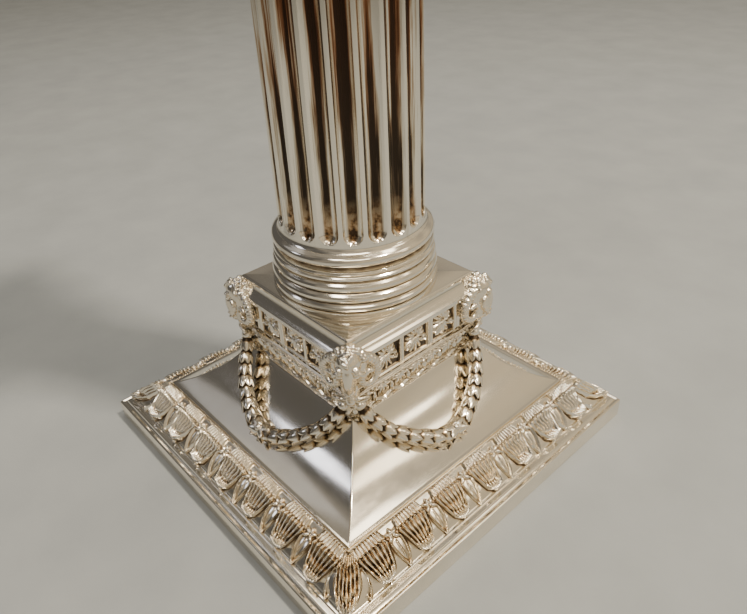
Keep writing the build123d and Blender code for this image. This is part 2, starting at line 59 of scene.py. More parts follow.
def bottom(node):
    """Height of a CAD node's lowest point."""
    return BOX[node][0][2]


def half(node):
    """Distance from the column's axis to the outside of a CAD node, along X."""
    return BOX[node][1][0]


# Sizes, read from the frame
BASE_HALF = half("foot_rim")
RIM_TOP = top("foot_rim")
BORDER_OUTER = half("leaf_border_right")
BORDER_TOP = top("leaf_border_right")
BORDER_INNER = BORDER_OUTER - 12.1
BAND_INNER = BORDER_INNER - 0.7
DIE_BOTTOM = top("plinth_riser")
LOWER_FRIEZE_TOP = top("frieze_lower")
LOWER_FRIEZE_HALF = half("frieze_lower")
UPPER_FRIEZE_BOTTOM = bottom("frieze_upper")
UPPER_FRIEZE_TOP = top("frieze_upper")
UPPER_FRIEZE_HALF = half("frieze_upper")
MOULDING_HALF = half("die_moulding")
CORNICE_HALF = half("cornice")
PLATE_TOP = top("cornice")
COLUMN_BASE_TOP = top("column_base")
SHAFT_TOP = top("column_shaft")
NECK_TOP = top("neck_ring")
BELL_TOP = top("capital_bell")
ABACUS_TOP = top("abacus")
ABACUS_HALF = half("abacus")
SOCKET_OUTER = half("candle_socket")
SOCKET_BOTTOM = bottom("candle_socket")
SLEEVE_BOTTOM = bottom("nozzle_sleeve")
SLEEVE_OUTER = half("nozzle_sleeve")
NOZZLE_TOP = top("nozzle_sleeve")
PAN_HALF = half("drip_pan")
PAN_EDGE = top("drip_pan")
PAN_BORDER_TOP = top("drip_pan_border")
COLLAR_HALF = half("nozzle_collar")


# Outlines: plane curves as lists of points
CORNER_ANGLE = 24               # a turn in an outline sharper than this is a corner, in degrees
TINY = 1e-9                     # keeps a length from being nought


def travelled(points):
    """How far along a line of points each one lies."""
    return np.concatenate([[0], np.cumsum(np.linalg.norm(np.diff(points, axis=0), axis=1))])


def unit(vectors, least=0.0):
    """Vectors scaled to a length of one."""
    return vectors / (np.linalg.norm(vectors, axis=1)[:, None] + least)


def quarter_turns(points):
    """Plane points on one side of a square, repeated round its four sides."""
    quarters = ((1, 0), (0, 1), (-1, 0), (0, -1))
    return np.vstack([points @ np.array(((c, s), (-s, c))) for c, s in quarters])


def arc(start, middle, end, step):
    """Points of the circular arc through three points, without its start."""
    a, m, b = (np.array(p, float) for p in (start, middle, end))
    d = 2 * (a[0] * (m[1] - b[1]) + m[0] * (b[1] - a[1]) + b[0] * (a[1] - m[1]))
    squares = [p @ p for p in (a, m, b)]
    cx = (squares[0] * (m[1] - b[1]) + squares[1] * (b[1] - a[1]) + squares[2] * (a[1] - m[1])) / d
    cy = (squares[0] * (b[0] - m[0]) + squares[1] * (a[0] - b[0]) + squares[2] * (m[0] - a[0])) / d
    centre = np.array((cx, cy))
    radius = np.linalg.norm(a - centre)
    first, mid, last = (math.atan2(*(p - centre)[::-1]) for p in (a, m, b))
    sweep = (last - first) % math.tau
    if (mid - first) % math.tau > sweep:
        sweep -= math.tau
    count = max(3, int(abs(sweep) * radius / step))
    angles = first + sweep * np.arange(1, count + 1) / count
    return [centre + radius * np.array((math.cos(t), math.sin(t))) for t in angles]


def trace(outline, step=0.6):
    """An outline as points: an entry is a corner, or a pair (middle, end) of an arc."""
    points = [np.array(outline[0], float)]
    for entry in outline[1:]:
        if isinstance(entry[0], tuple):
            points += arc(points[-1], entry[0], entry[1], step)
        else:
            points.append(np.array(entry, float))
    return points


def soften(points, radius=0.12, support=0.22):
    """A closed outline with its sharp corners rounded, and kept crisp by a point on each side."""
    soft = []
    count = len(points)
    for i, here in enumerate(points):
        before, after = here - points[i - 1], points[(i + 1) % count] - here
        reach_in, reach_out = np.linalg.norm(before), np.linalg.norm(after)
        before, after = before / reach_in, after / reach_out
        turn = math.acos(max(-1.0, min(1.0, before @ after)))
        if turn < math.radians(CORNER_ANGLE):
            soft.append(here)
            continue
        cut = min(radius * math.tan(min(turn, 2.4) / 2), 0.3 * reach_in, 0.3 * reach_out)
        if reach_in > 4 * (cut + support):
            soft.append(here - before * (cut + support))
        first, last = here - before * cut, here + after * cut
        for t in (0.0, 0.25, 0.5, 0.75, 1.0):
            soft.append((1 - t) ** 2 * first + 2 * t * (1 - t) * here + t * t * last)
        if reach_out > 4 * (cut + support):
            soft.append(here + after * (cut + support))
    return np.array(soft)


def smooth_step(low, high, value):
    """0 below low, 1 above high, and a smooth ramp between them."""
    t = np.clip((value - low) / (high - low), 0, 1)
    return t * t * (3 - 2 * t)


def through(points, count):
    """A smooth curve through points (Catmull-Rom), sampled evenly by span."""
    p = np.array(points, float)
    p = np.vstack([2 * p[0] - p[1], p, 2 * p[-1] - p[-2]])
    spans = len(p) - 3
    t = np.linspace(0, spans, count)
    k = np.minimum(t.astype(int), spans - 1)
    f = (t - k)[:, None]
    a, b, c, d = p[k], p[k + 1], p[k + 2], p[k + 3]
    square, cube = 2 * a - 5 * b + 4 * c - d, 3 * b - a - 3 * c + d
    return 0.5 * (2 * b + (c - a) * f + square * f ** 2 + cube * f ** 3)


def outline_recess(points, reach=0.9, spacing=0.1, full_depth=0.32):
    """How deep each point of a closed outline lies in a groove, from 0 to 1."""
    closed = np.vstack([points, points[:1]])
    place = travelled(closed)
    even = np.linspace(0, place[-1], int(place[-1] / spacing) + 2)[:-1]
    line = np.stack([np.interp(even, place, closed[:, k]) for k in (0, 1)], 1)
    spread = int(3 * reach / spacing)
    window = np.exp(-0.5 * (np.arange(-spread, spread + 1) * spacing / reach) ** 2)
    window /= window.sum()
    wrapped = np.vstack([line[-spread:], line, line[:spread]])
    mean = np.stack([np.convolve(wrapped[:, k], window, "valid") for k in (0, 1)], 1)
    tangent = np.roll(line, -1, 0) - np.roll(line, 1, 0)
    normal = unit(np.stack([tangent[:, 1], -tangent[:, 0]], 1), TINY)
    area = np.sum(closed[:-1, 0] * closed[1:, 1] - closed[1:, 0] * closed[:-1, 1])
    depth = np.sum((mean - line) * normal, axis=1) * np.sign(area)
    return np.clip(np.interp(place[:-1], even, depth) / full_depth, 0, 1)


# Parts: (points, faces, recess), which pieces are joined from
def grid_faces(rows, columns, wrap_rows=False, wrap_columns=False, flip=False):
    """Four-sided faces of a grid of points stored row by row."""
    down, along = np.arange(rows - (not wrap_rows)), np.arange(columns - (not wrap_columns))
    i, j = (index.ravel() for index in np.meshgrid(down, along, indexing="ij"))
    i2, j2 = (i + 1) % rows, (j + 1) % columns
    faces = np.stack([i * columns + j, i * columns + j2, i2 * columns + j2, i2 * columns + j], 1)
    return (faces[:, ::-1] if flip else faces).tolist()


def join(parts):
    """Several parts as one."""
    points, faces, recess, start = [], [], [], 0
    for p, f, r in parts:
        points.append(p)
        recess.append(r)
        faces += [[k + start for k in face] for face in f]
        start += len(p)
    return np.vstack(points), faces, np.concatenate(recess)


def turned_about_z(part, degrees):
    """A part turned about the column's axis."""
    a = math.radians(degrees)
    turn = np.array(((math.cos(a), math.sin(a), 0), (-math.sin(a), math.cos(a), 0), (0, 0, 1)))
    return part[0] @ turn, part[1], part[2]


def lathe(outline, segments=160):
    """A closed outline of (radius, height) points turned about the column's axis."""
    section = soften(trace(outline))
    angles = np.linspace(0, math.tau, segments, endpoint=False)
    ring = np.stack([np.cos(angles), np.sin(angles)], 1)
    points = np.concatenate([
        section[:, None, :1] * ring[None],
        np.broadcast_to(section[:, None, 1:], (len(section), segments, 1)),
    ], 2).reshape(-1, 3)
    recess = np.repeat(outline_recess(section), segments)
    return points, grid_faces(len(section), segments, True, True), recess


def square_ring(outline, mitre=0.25, round_within=0.0, fill=5):
    """A closed outline of (half width, height) points taken round a square, with crisp mitred corners.

    Rows inside the radius round_within become circles."""
    section = soften(trace(outline))
    rows = []
    for reach, height in section:
        flat = reach - mitre
        inner = flat - 0.3
        along = [-flat, *np.linspace(-inner, inner, fill), flat]
        side = [(reach, s) for s in along]
        corner = np.radians((22.5, 45, 67.5))
        side += [(flat + mitre * math.cos(a), flat + mitre * math.sin(a)) for a in corner]
        side = np.array(side)
        if reach <= round_within:
            side *= (reach / np.linalg.norm(side, axis=1))[:, None]
        ring = quarter_turns(side)
        rows.append(np.column_stack([ring, np.full(len(ring), height)]))
    columns = len(rows[0])
    recess = np.repeat(outline_recess(section), columns)
    return np.vstack(rows), grid_faces(len(rows), columns, True, True), recess


def loft(rings, recess=None):
    """Closed rings of points joined in order, with both ends closed."""
    rings = np.array(rings)
    count, sides = rings.shape[:2]
    points = np.vstack([rings.reshape(-1, 3), rings[0].mean(0), rings[-1].mean(0)])
    faces = grid_faces(count, sides, False, True)
    first, last = count * sides, count * sides + 1
    for j in range(sides):
        k = (j + 1) % sides
        faces.append([k, j, first])
        faces.append([(count - 1) * sides + j, (count - 1) * sides + k, last])
    if recess is None:
        depth = np.zeros(len(points))
    else:
        recess = np.broadcast_to(recess, (count, sides))
        depth = np.concatenate([recess.ravel(), [recess[0].mean(), recess[-1].mean()]])
    return points, faces, depth


def tube(path, radii, sides=12, squash=1.0, up=(0, 0, 1)):
    """A round or flattened bar along a path, with a radius at each point."""
    path = np.array(path, float)
    ahead = unit(np.gradient(path, axis=0))
    side = unit(np.cross(ahead, np.array(up, float)), TINY)
    over = np.cross(side, ahead)
    angles = np.linspace(0, math.tau, sides, endpoint=False)[None, :, None]
    radii = np.broadcast_to(radii, len(path))[:, None, None]
    ring = np.cos(angles) * side[:, None] + squash * np.sin(angles) * over[:, None]
    return loft(path[:, None] + radii * ring)


def ball(centre, radii, turn=(0, 0, 0), rings=10, sides=16):
    """An ellipsoid, turned by Euler angles in degrees."""
    lat = np.linspace(-math.pi / 2, math.pi / 2, rings + 2)[1:-1]
    lon = np.linspace(0, math.tau, sides, endpoint=False)
    sphere = np.stack([
        np.cos(lat)[:, None] * np.cos(lon),
        np.cos(lat)[:, None] * np.sin(lon),
        np.broadcast_to(np.sin(lat)[:, None], (rings, sides)),
    ], 2)
    points, faces, recess = loft(sphere)
    points[-2:, 2] = (-1, 1)
    about_x, about_y, about_z = (
        Matrix.Rotation(math.radians(angle), 3, axis) for angle, axis in zip(turn, "XYZ"))
    turned = np.array(about_z @ about_y @ about_x)
    return (points * np.array(radii)) @ turned.T + np.array(centre), faces, recess


def relief_side(face_outline, back_outline, height, columns, step=0.2):
    """One side of a square ring of ornament: a grid of points, row by row round its closed section.

    The face is the outline seen from outside, from its inner or upper edge to its outer or lower
    one, raised by height(along, down); the back closes the section."""
    face = np.array(trace(face_outline, step))
    place = travelled(face)
    down = np.linspace(0, place[-1], int(place[-1] / step) + 1)
    face = np.stack([np.interp(down, place, face[:, k]) for k in (0, 1)], 1)
    tangent = unit(np.gradient(face, axis=0))
    normal = np.stack([-tangent[:, 1], tangent[:, 0]], 1)
    across = np.linspace(-1, 1, columns)
    raised = height(across[None, :] * face[:, :1], down[:, None], face[:, :1])
    out = face[:, :1] + normal[:, :1] * raised
    up = face[:, 1:] + normal[:, 1:] * raised
    back = np.array(trace(back_outline, 2.0))
    out = np.vstack([out, np.repeat(back[:, :1], columns, 1)])
    up = np.vstack([up, np.repeat(back[:, 1:], columns, 1)])
    grid = np.stack([out, across[None, :] * out, up], 2)
    recess = np.zeros(out.shape)
    recess[:len(down)] = relief_recess(raised)
    return grid, recess


def blur(values, rounds):
    """Values on a grid, averaged with their neighbours a number of times."""
    for _ in range(rounds):
        p = np.pad(values, 1, mode="edge")
        values = (p[:-2, 1:-1] + p[2:, 1:-1] + p[1:-1, :-2] + p[1:-1, 2:] + 2 * values) / 6
    return values


NEAR_ROUNDS, NEAR_DEPTH = 6, 0.25       # rounds of blur that find a narrow groove, and its full depth
WIDE_ROUNDS, WIDE_DEPTH = 60, 0.6       # the same for a wide hollow


def relief_recess(raised):
    """How deep each point of a relief lies below what is round it, from 0 to 1."""
    near = blur(raised, NEAR_ROUNDS) - raised
    wide = blur(raised, WIDE_ROUNDS) - raised
    return np.clip(near / NEAR_DEPTH + 0.9 * wide / WIDE_DEPTH, 0, 1)


def mitred_strip(grid, recess):
    """A relief side closed at its two mitres."""
    rows, columns = grid.shape[:2]
    faces = grid_faces(rows, columns, True, False)
    faces.append([r * columns for r in range(rows)])
    faces.append([r * columns + columns - 1 for r in range(rows)][::-1])
    return grid.reshape(-1, 3), faces, recess.ravel()


def mitred_ring(grid, recess):
    """A relief side taken round all four sides."""
    rows = grid.shape[0]
    sides = [turned_about_z((grid[:, :-1].reshape(-1, 3), [], None), 90 * k)[0] for k in range(4)]
    ring = np.concatenate([side.reshape(rows, -1, 3) for side in sides], 1)
    depth = np.tile(recess[:, :-1], (1, 4))
    return ring.reshape(-1, 3), grid_faces(rows, ring.shape[1], True, True), depth.ravel()


# Pieces: Blender objects that ride on the frame
SHARP_ANGLE = 62                # edges that turn more than this stay sharp, in degrees


def add_object(name, data):
    """A new object in the scene."""
    thing = bpy.data.objects.new(name, data)
    bpy.context.scene.collection.objects.link(thing)
    return thing


def build_mesh(name, part):
    """A closed, smooth-shaded mesh of a part, with its recess kept as an attribute."""
    points, faces, recess = part
    mesh = bpy.data.meshes.new(name)
    mesh.from_pydata((points * MM).tolist(), [], faces)
    layer = mesh.attributes.new("recess", "FLOAT", "POINT")
    layer.data.foreach_set("value", recess.astype(np.float32))
    outward(mesh)
    mesh.shade_smooth()
    mesh.set_sharp_from_angle(angle=math.radians(SHARP_ANGLE))
    return mesh


def outward(mesh):
    """Makes every face of a closed mesh look outwards."""
    made = bmesh.new()
    made.from_mesh(mesh)
    bmesh.ops.recalc_face_normals(made, faces=made.faces)
    made.to_mesh(mesh)
    made.free()


def piece(name, mesh, finish, nodes, body="candlestick", turn=0):
    """An object in place of CAD nodes, turned about the column's axis."""
    material, slot = finish
    if not isinstance(mesh, bpy.types.Mesh):
        mesh = build_mesh(name, mesh)
    if not mesh.materials:
        mesh.materials.append(material)
    thing = add_object(name, mesh)
    thing.rotation_euler = (0, 0, math.radians(turn))
    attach(thing, body)
    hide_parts(*nodes)


def fused(part, voxel, smoothing):
    """Overlapping closed shapes melted into one skin, as a casting is, with its recesses found."""
    mesh = build_mesh("fusing", part)
    thing = add_object("fusing", mesh)
    melt = thing.modifiers.new("melt", "REMESH")
    melt.mode = "VOXEL"
    melt.voxel_size = voxel * MM
    ease = thing.modifiers.new("ease", "SMOOTH")
    ease.factor = 0.5
    ease.iterations = smoothing
    made = thing.evaluated_get(bpy.context.evaluated_depsgraph_get()).to_mesh()
    points = np.zeros(len(made.vertices) * 3)
    made.vertices.foreach_get("co", points)
    normals = np.zeros(len(made.vertices) * 3)
    made.vertices.foreach_get("normal", normals)
    corners = np.zeros(len(made.loops), int)
    made.loops.foreach_get("vertex_index", corners)
    faces = corners.reshape(-1, 4)
    points = points.reshape(-1, 3) / MM
    recess = skin_recess(points, faces, normals.reshape(-1, 3))
    bpy.data.objects.remove(thing)
    bpy.data.meshes.remove(mesh)
    return points, faces.tolist(), recess


def skin_recess(points, faces, normals, rounds=14, full_depth=0.16):
    """How deep each point of an even mesh lies below its neighbours, from 0 to 1."""
    start = faces.ravel()
    end = np.roll(faces, -1, 1).ravel()
    start, end = np.concatenate([start, end]), np.concatenate([end, start])
    count = np.bincount(start, minlength=len(points))
    mean = points.copy()
    for _ in range(rounds):
        total = np.stack([np.bincount(start, mean[end, k], len(points)) for k in range(3)], 1)
        mean = 0.5 * mean + 0.5 * total / count[:, None]
    depth = np.sum((mean - points) * normals, axis=1)
    return np.clip(depth / full_depth, 0, 1)


# Materials
class Nodes:
    """A node tree, with short calls to add nodes and links."""

    def __init__(self, tree, coordinates):
        self.tree = tree
        self.place = tree.nodes.new("ShaderNodeTexCoord").outputs[coordinates]

    def add(self, kind, **inputs):
        """A node with some of its inputs set or linked, by name, or by number as i0, i1."""
        node = self.tree.nodes.new("ShaderNode" + kind)
        for key, value in inputs.items():
            numbered = key[0] == "i" and key[1:].isdigit()
            self.put(value, node.inputs[int(key[1:]) if numbered else key])
        return node

    def put(self, value, socket):
        """Sets a socket to a value, or links it to another node's output."""
        if isinstance(value, bpy.types.NodeSocket):
            self.tree.links.new(value, socket)
        else:
            socket.default_value = value

    def scaled(self, x, y, z):
        """Object coordinates stretched by a factor along each axis, in metres."""
        node = self.add("Mapping", Vector=self.place, Scale=(x, y, z))
        return node.outputs["Vector"]

    def noise(self, scale, detail=3.0, roughness=0.55, vector=None, distortion=0.0):
        """A cloudy value round 0.5, finer as its scale grows."""
        node = self.add("TexNoise", Vector=vector or self.place, Scale=scale, Detail=detail,
                        Roughness=roughness, Distortion=distortion)
        return node.outputs["Fac"]

    def ramp(self, value, *stops):
        """A value or a colour that changes with another value: stops are (position, colour or grey)."""
        node = self.add("ValToRGB", Fac=value)
        elements = node.color_ramp.elements
        while len(elements) < len(stops):
            elements.new(0.5)
        for element, (position, colour) in zip(elements, stops):
            element.position = position
            grey = isinstance(colour, (int, float))
            element.color = (colour, colour, colour, 1) if grey else (*colour, 1)
        return node.outputs["Color"]

    def rise(self, value, low, high):
        """0 below low, and 1 above high."""
        return self.ramp(value, (low, 0.0), (high, 1.0))

    def fall(self, value, low, high):
        """1 below low, and 0 above high."""
        return self.ramp(value, (low, 1.0), (high, 0.0))

    def mix(self, factor, first, second):
        """Two colours mixed by a factor."""
        node = self.tree.nodes.new("ShaderNodeMix")
        node.data_type = "RGBA"
        for value, k in ((factor, 0), (first, 6), (second, 7)):
            self.put((*value, 1) if isinstance(value, tuple) else value, node.inputs[k])
        return node.outputs[2]

    def maths(self, operation, first, second=0.0, clamp=False):
        node = self.add("Math", i0=first, i1=second)
        node.operation = operation
        node.use_clamp = clamp
        return node.outputs[0]

    def plus(self, first, second, clamp=False):
        return self.maths("ADD", first, second, clamp)

    def times(self, first, second):
        return self.maths("MULTIPLY", first, second)

    def bump(self, height, distance, strength=1.0, under=None):
        """A bump of a height in metres, over another one."""
        node = self.add("Bump", Height=height, Distance=distance, Strength=strength)
        if under is not None:
            self.put(under, node.inputs["Normal"])
        return node.outputs["Normal"]


class Surface(Nodes):
    """A material, in object coordinates."""

    def __init__(self, name):
        self.material = bpy.data.materials.new(name)
        self.material.use_nodes = True
        super().__init__(self.material.node_tree, "Object")
        self.shader = self.tree.nodes["Principled BSDF"]

    def finish(self, **inputs):
        """The material, with inputs of its shader set or linked."""
        for key, value in inputs.items():
            self.put(value, self.shader.inputs[key.replace("_", " ")])
        return self.material


SILVER_TINT = (0.91, 0.85, 0.74)
STRAW = (0.74, 0.62, 0.43)
BROWN = (0.32, 0.225, 0.135)
# near black in the deepest recesses: tarnish and painted shade
DEEP_TARNISH_AND_SHADE = (0.06, 0.044, 0.03)


def recess_of(m):
    """How deep the surface lies in a recess, kept with the mesh."""
    kept = m.add("Attribute")
    kept.attribute_name = "recess"
    return kept.outputs["Fac"]


def centred(m, value, reach):
    """A 0 to 1 noise as a change of up to plus or minus half its reach."""
    return m.times(m.maths("SUBTRACT", value, 0.5), reach)


def hand_polished(m, mottle, dents):
    """The fine surface of old silver: soft dents, faint pits and the hairlines of a cloth."""
    normal = m.bump(m.noise(95, 2, 0.4), dents, 0.8)
    normal = m.bump(mottle, 0.000006, 0.7, normal)
    return m.bump(m.noise(2600, 2, 0.5, m.scaled(1.0, 0.16, 0.6)), 0.0000016, 0.6, normal)


def silver(name, tarnish_and_shade_start, polish, haze, dents):
    """Old polished silver: bright on what a cloth reaches, and straw to brown to near black in the
    recesses, where tarnish and painted shade both darken it.

    Tarnish and painted shade show where the recess is more than its start. Polish is the least
    roughness, haze the strength of the dull clouds, and dents the height of the soft dents, in metres."""
    m = Surface(name)
    mottle = m.noise(420, 5, 0.65, distortion=0.4)
    clouds = m.rise(m.noise(55, 3, 0.55), 0.36, 0.70)
    # tarnish and painted shade: darker where the surface lies deeper in a recess
    tarnish_and_shade = m.plus(recess_of(m), centred(m, mottle, 0.55))
    tarnish_and_shade = m.rise(tarnish_and_shade, tarnish_and_shade_start, 1.0)
    warm = m.mix(m.times(clouds, haze), SILVER_TINT, (0.84, 0.75, 0.60))
    stained_and_shaded = m.ramp(tarnish_and_shade, (0.0, SILVER_TINT), (0.38, STRAW), (0.72, BROWN), (1.0, DEEP_TARNISH_AND_SHADE))
    colour = m.mix(m.rise(tarnish_and_shade, 0.0, 0.22), warm, stained_and_shaded)
    rough = m.plus(m.times(tarnish_and_shade, 0.26), m.times(clouds, 0.10 * haze))
    rough = m.plus(rough, centred(m, m.noise(240, 3, 0.5, m.scaled(1.0, 1.0, 5.0)), 0.06))
    rough = m.plus(rough, polish, True)
    return m.finish(
        Base_Color=colour, Metallic=1.0, Roughness=rough, Normal=hand_polished(m, mottle, dents))


def fluted_silver():
    """Silver with a glossy film of tarnish that runs down the flutes, from straw to near black,
    with painted shade deep in each flute and a painted dark reflection to one side of it.
    """
    m = Surface("silver_column")
    mottle = m.noise(420, 5, 0.65, distortion=0.4)
    runs = m.noise(1150, 4, 0.65, m.scaled(1.0, 1.0, 0.025))
    wide_runs = m.noise(230, 3, 0.5, m.scaled(1.0, 1.0, 0.09))
    height = m.add("SeparateXYZ", Vector=m.place).outputs["Z"]
    upper = m.rise(height, 0.106, 0.146)        # heights in metres
    recess = recess_of(m)
    streaks = m.plus(centred(m, runs, 2.3), centred(m, wide_runs, 1.9))
    streaks = m.plus(streaks, 0.10)
    within = m.ramp(recess, (0.0, 0.25), (0.16, 1.0))
    # the flute's recess band darkens as tarnish, painted shade and a painted dark reflection; the streaks
    # are tarnish
    film_shade_and_reflection = m.plus(m.times(recess, 0.92), m.times(streaks, within))
    film_shade_and_reflection = m.rise(film_shade_and_reflection, 0.10, 1.0)
    lower_film_shade_reflection = m.ramp(
        film_shade_and_reflection, (0.0, SILVER_TINT), (0.08, (0.74, 0.68, 0.57)), (0.28, (0.52, 0.44, 0.32)),
        (0.48, (0.20, 0.14, 0.09)), (0.72, (0.045, 0.033, 0.024)))
    upper_film_shade_reflection = m.ramp(
        film_shade_and_reflection, (0.0, SILVER_TINT), (0.08, (0.74, 0.65, 0.53)), (0.28, (0.54, 0.33, 0.19)),
        (0.48, (0.32, 0.125, 0.055)), (0.84, (0.06, 0.033, 0.022)))
    colour = m.mix(upper, lower_film_shade_reflection, upper_film_shade_reflection)
    pooled = m.ramp(
        m.noise(330, 4, 0.62), (0.40, (0.07, 0.042, 0.025)), (0.48, (0.36, 0.21, 0.10)),
        (0.58, (0.68, 0.50, 0.31)))
    near_foot = m.fall(height, 0.084, 0.092)
    in_flute = m.rise(recess, 0.15, 0.5)
    colour = m.mix(m.times(near_foot, in_flute), colour, pooled)
    rough = m.plus(m.times(film_shade_and_reflection, 0.14), centred(m, runs, 0.12))
    rough = m.plus(rough, 0.13, True)
    return m.finish(
        Base_Color=colour, Metallic=1.0, Roughness=rough, Normal=hand_polished(m, mottle, 0.000015))


def iron():
    """Blackened wrought iron with a little rust."""
    m = Surface("wrought_iron")
    rust = m.rise(m.noise(300, 5, 0.65), 0.45, 0.65)
    colour = m.mix(rust, (0.09, 0.085, 0.08), (0.16, 0.06, 0.025))
    rough = m.plus(m.times(rust, 0.35), 0.42)
    scale = m.bump(m.noise(900, 4), 0.00005)
    return m.finish(Base_Color=colour, Metallic=0.8, Roughness=rough, Normal=scale)


def pitch():
    """Dark pitch and plaster that fills the hollow silver."""
    m = Surface("pitch_loading")
    grains = m.noise(500, 6, 0.7)
    colour = m.ramp(
        grains, (0.3, (0.03, 0.024, 0.02)), (0.6, (0.10, 0.075, 0.055)), (0.8, (0.24, 0.2, 0.16)))
    return m.finish(Base_Color=colour, Roughness=0.75, Normal=m.bump(grains, 0.0002))


def wood():
    """Stained hardwood board with its grain along X."""
    m = Surface("board_wood")
    rings = m.noise(60, 4, 0.6, m.scaled(0.12, 1.0, 1.0), 1.2)
    pores = m.noise(1400, 3, 0.6, m.scaled(0.05, 1.0, 1.0))
    colour = m.ramp(
        rings, (0.3, (0.13, 0.06, 0.03)), (0.55, (0.24, 0.12, 0.055)), (0.75, (0.17, 0.08, 0.04)))
    colour = m.mix(m.fall(pores, 0.35, 0.5), colour, (0.05, 0.025, 0.015))
    return m.finish(Base_Color=colour, Roughness=0.55, Normal=m.bump(pores, 0.00008))


def felt():
    """Worn green baize."""
    m = Surface("green_baize")
    fibres = m.noise(2400, 5, 0.7)
    worn = m.noise(45, 3, 0.6)
    green = m.mix(m.rise(worn, 0.4, 0.7), (0.03, 0.11, 0.05), (0.06, 0.13, 0.07))
    colour = m.mix(m.rise(fibres, 0.35, 0.7), green, (0.10, 0.20, 0.12))
    return m.finish(Base_Color=colour, Roughness=0.95, Sheen_Weight=0.6, Sheen_Roughness=0.4,
                    Normal=m.bump(fibres, 0.0003))


# A finish is a material and the record's slot that it stands for.
plain = (
    silver("silver_plain", tarnish_and_shade_start=0.45, polish=0.11, haze=0.45, dents=0.000015),
    "silver_plain")
ornament = (
    silver("silver_ornament", tarnish_and_shade_start=0.32, polish=0.13, haze=0.6, dents=0.00001),
    "silver_ornament")
column = (fluted_silver(), "silver_column")


# Foot: rim, leaf border, riser
def foot_rim():
    """The plain stepped edge of the foot."""
    b, t = BASE_HALF, RIM_TOP
    return square_ring([
        (b - 1.3, 0.0),
        (b, 0.0),
        (b, t - 1.2),
        ((b - 0.2, t - 0.75), (b - 0.65, t - 0.6)),
        (b - 1.3, t - 0.8),
        (b - 1.9, t - 0.5),
        (b - 2.2, t),
        (b - 5.0, t),
        (b - 5.0, t - 1.4),
        (b - 1.3, t - 1.4),
    ])


def dome(x, y, width, length, rise):
    """A rounded bump of a half width and a half length."""
    return rise * np.sqrt(np.clip(1 - (x / width) ** 2 - (y / length) ** 2, 0, 1))


def crease(distance, width, rise):
    """A round ridge along a line, from the distance to the line."""
    return rise * np.exp(-(distance / width) ** 2)


def petal(x, y, angle, start, length, width, rise):
    """A petal that leaves the origin at an angle from straight down."""
    a = math.radians(angle)
    along = x * math.sin(a) + y * math.cos(a)
    across = x * math.cos(a) - y * math.sin(a)
    return dome(across, along - start - length / 2, width, length / 2, rise)


LEAF_PITCH = 14.6               # from one leaf to the next
LEAF_LENGTH = 13.7
LEAF_RIBS = 7
COMB_RIBS = 9                   # short ribs over each leaf
BORDER_WIDTH = 14.9             # down the face of the border
BORDER_TARNISH_AND_SHADE = 0.93           # the border's tarnish and painted shade are a little lighter than on deeper ornament


def border_leaf(x, y):
    """One leaf of the foot's border: a comb of short ribs over seven curled ones that run together
    at a turned-up, rounded end."""
    spread = np.interp(y, (3.4, 5.0, 7.5, 10.2, 12.3, LEAF_LENGTH), (4.7, 5.3, 4.6, 3.6, 2.7, 0.3))
    q = x / spread
    lobes = 0.5 + 0.5 * np.cos(math.tau * LEAF_RIBS / 2 * q)
    inside = smooth_step(1.06, 0.92, np.abs(q)) * smooth_step(3.9, 4.5, y + 0.5 * lobes - 0.4 * q ** 2)
    crown = 1.25 * np.sqrt(np.clip(1 - 0.75 * q ** 2, 0, 1))
    ribs = 0.75 * (lobes - 0.5) * smooth_step(LEAF_LENGTH, 9.5, y)
    curls = crease(y - 4.9 - 0.4 * q ** 2, 0.65, 0.65 * lobes)
    splits = crease(y - 8.2 + 0.8 * q ** 2, 1.1, -0.5 * (1 - lobes))
    rim = crease(np.abs(q) - 0.93, 0.10, 0.7) * smooth_step(7.0, 11.5, y)
    lip = crease(y - 12.8 + 0.13 * x ** 2, 0.66, 1.05) * smooth_step(1.0, 0.8, np.abs(q))
    pocket = crease(y - 11.2 + 0.13 * x ** 2, 0.75, -0.95) * smooth_step(0.85, 0.5, np.abs(q))
    fan = inside * (crown + ribs + curls + splits + rim + lip + pocket + 0.1)
    p = x / (4.3 + 0.25 * y)
    comb = 0.5 + 0.5 * np.cos(math.tau * COMB_RIBS / 2 * p)
    short = 0.45 + 0.55 * comb
    short = short * smooth_step(1.05, 0.9, np.abs(p)) * smooth_step(0.9, 1.5, y + 0.5 * comb)
    return np.maximum(fan, short * smooth_step(4.6, 3.6, y))


def border_tongue(x, y):
    """The pointed tongue between two leaves: a sunk face with raised edges, under a small trefoil."""
    wide = np.interp(y, (4.6, 6.2, 8.5, 11.5, 14.3), (0.9, 2.0, 1.95, 1.25, 0.0))
    face = -0.15 * smooth_step(1.1, 0.8, np.abs(x) / np.maximum(wide, 0.05)) * smooth_step(4.8, 5.8, y)
    rib = crease(x, 0.3, 0.6) * smooth_step(5.6, 6.6, y) * smooth_step(12.6, 10.0, y)
    edge = crease(np.abs(x) - wide, 0.28, 1.05)
    edge = edge * smooth_step(4.4, 5.2, y) * smooth_step(BORDER_WIDTH, 14.2, y)
    trefoil = [petal(np.abs(x), y - 4.6, angle, 0.1, 2.3, 0.62, 1.15) for angle in (180, 122, 58)]
    return np.maximum.reduce([face + rib, edge, *trefoil])


def repeats(along, pitch):
    """How far a point is from the nearest motif's middle, and from the nearest gap's middle."""
    return (along + pitch / 2) % pitch - pitch / 2, along % pitch - pitch / 2


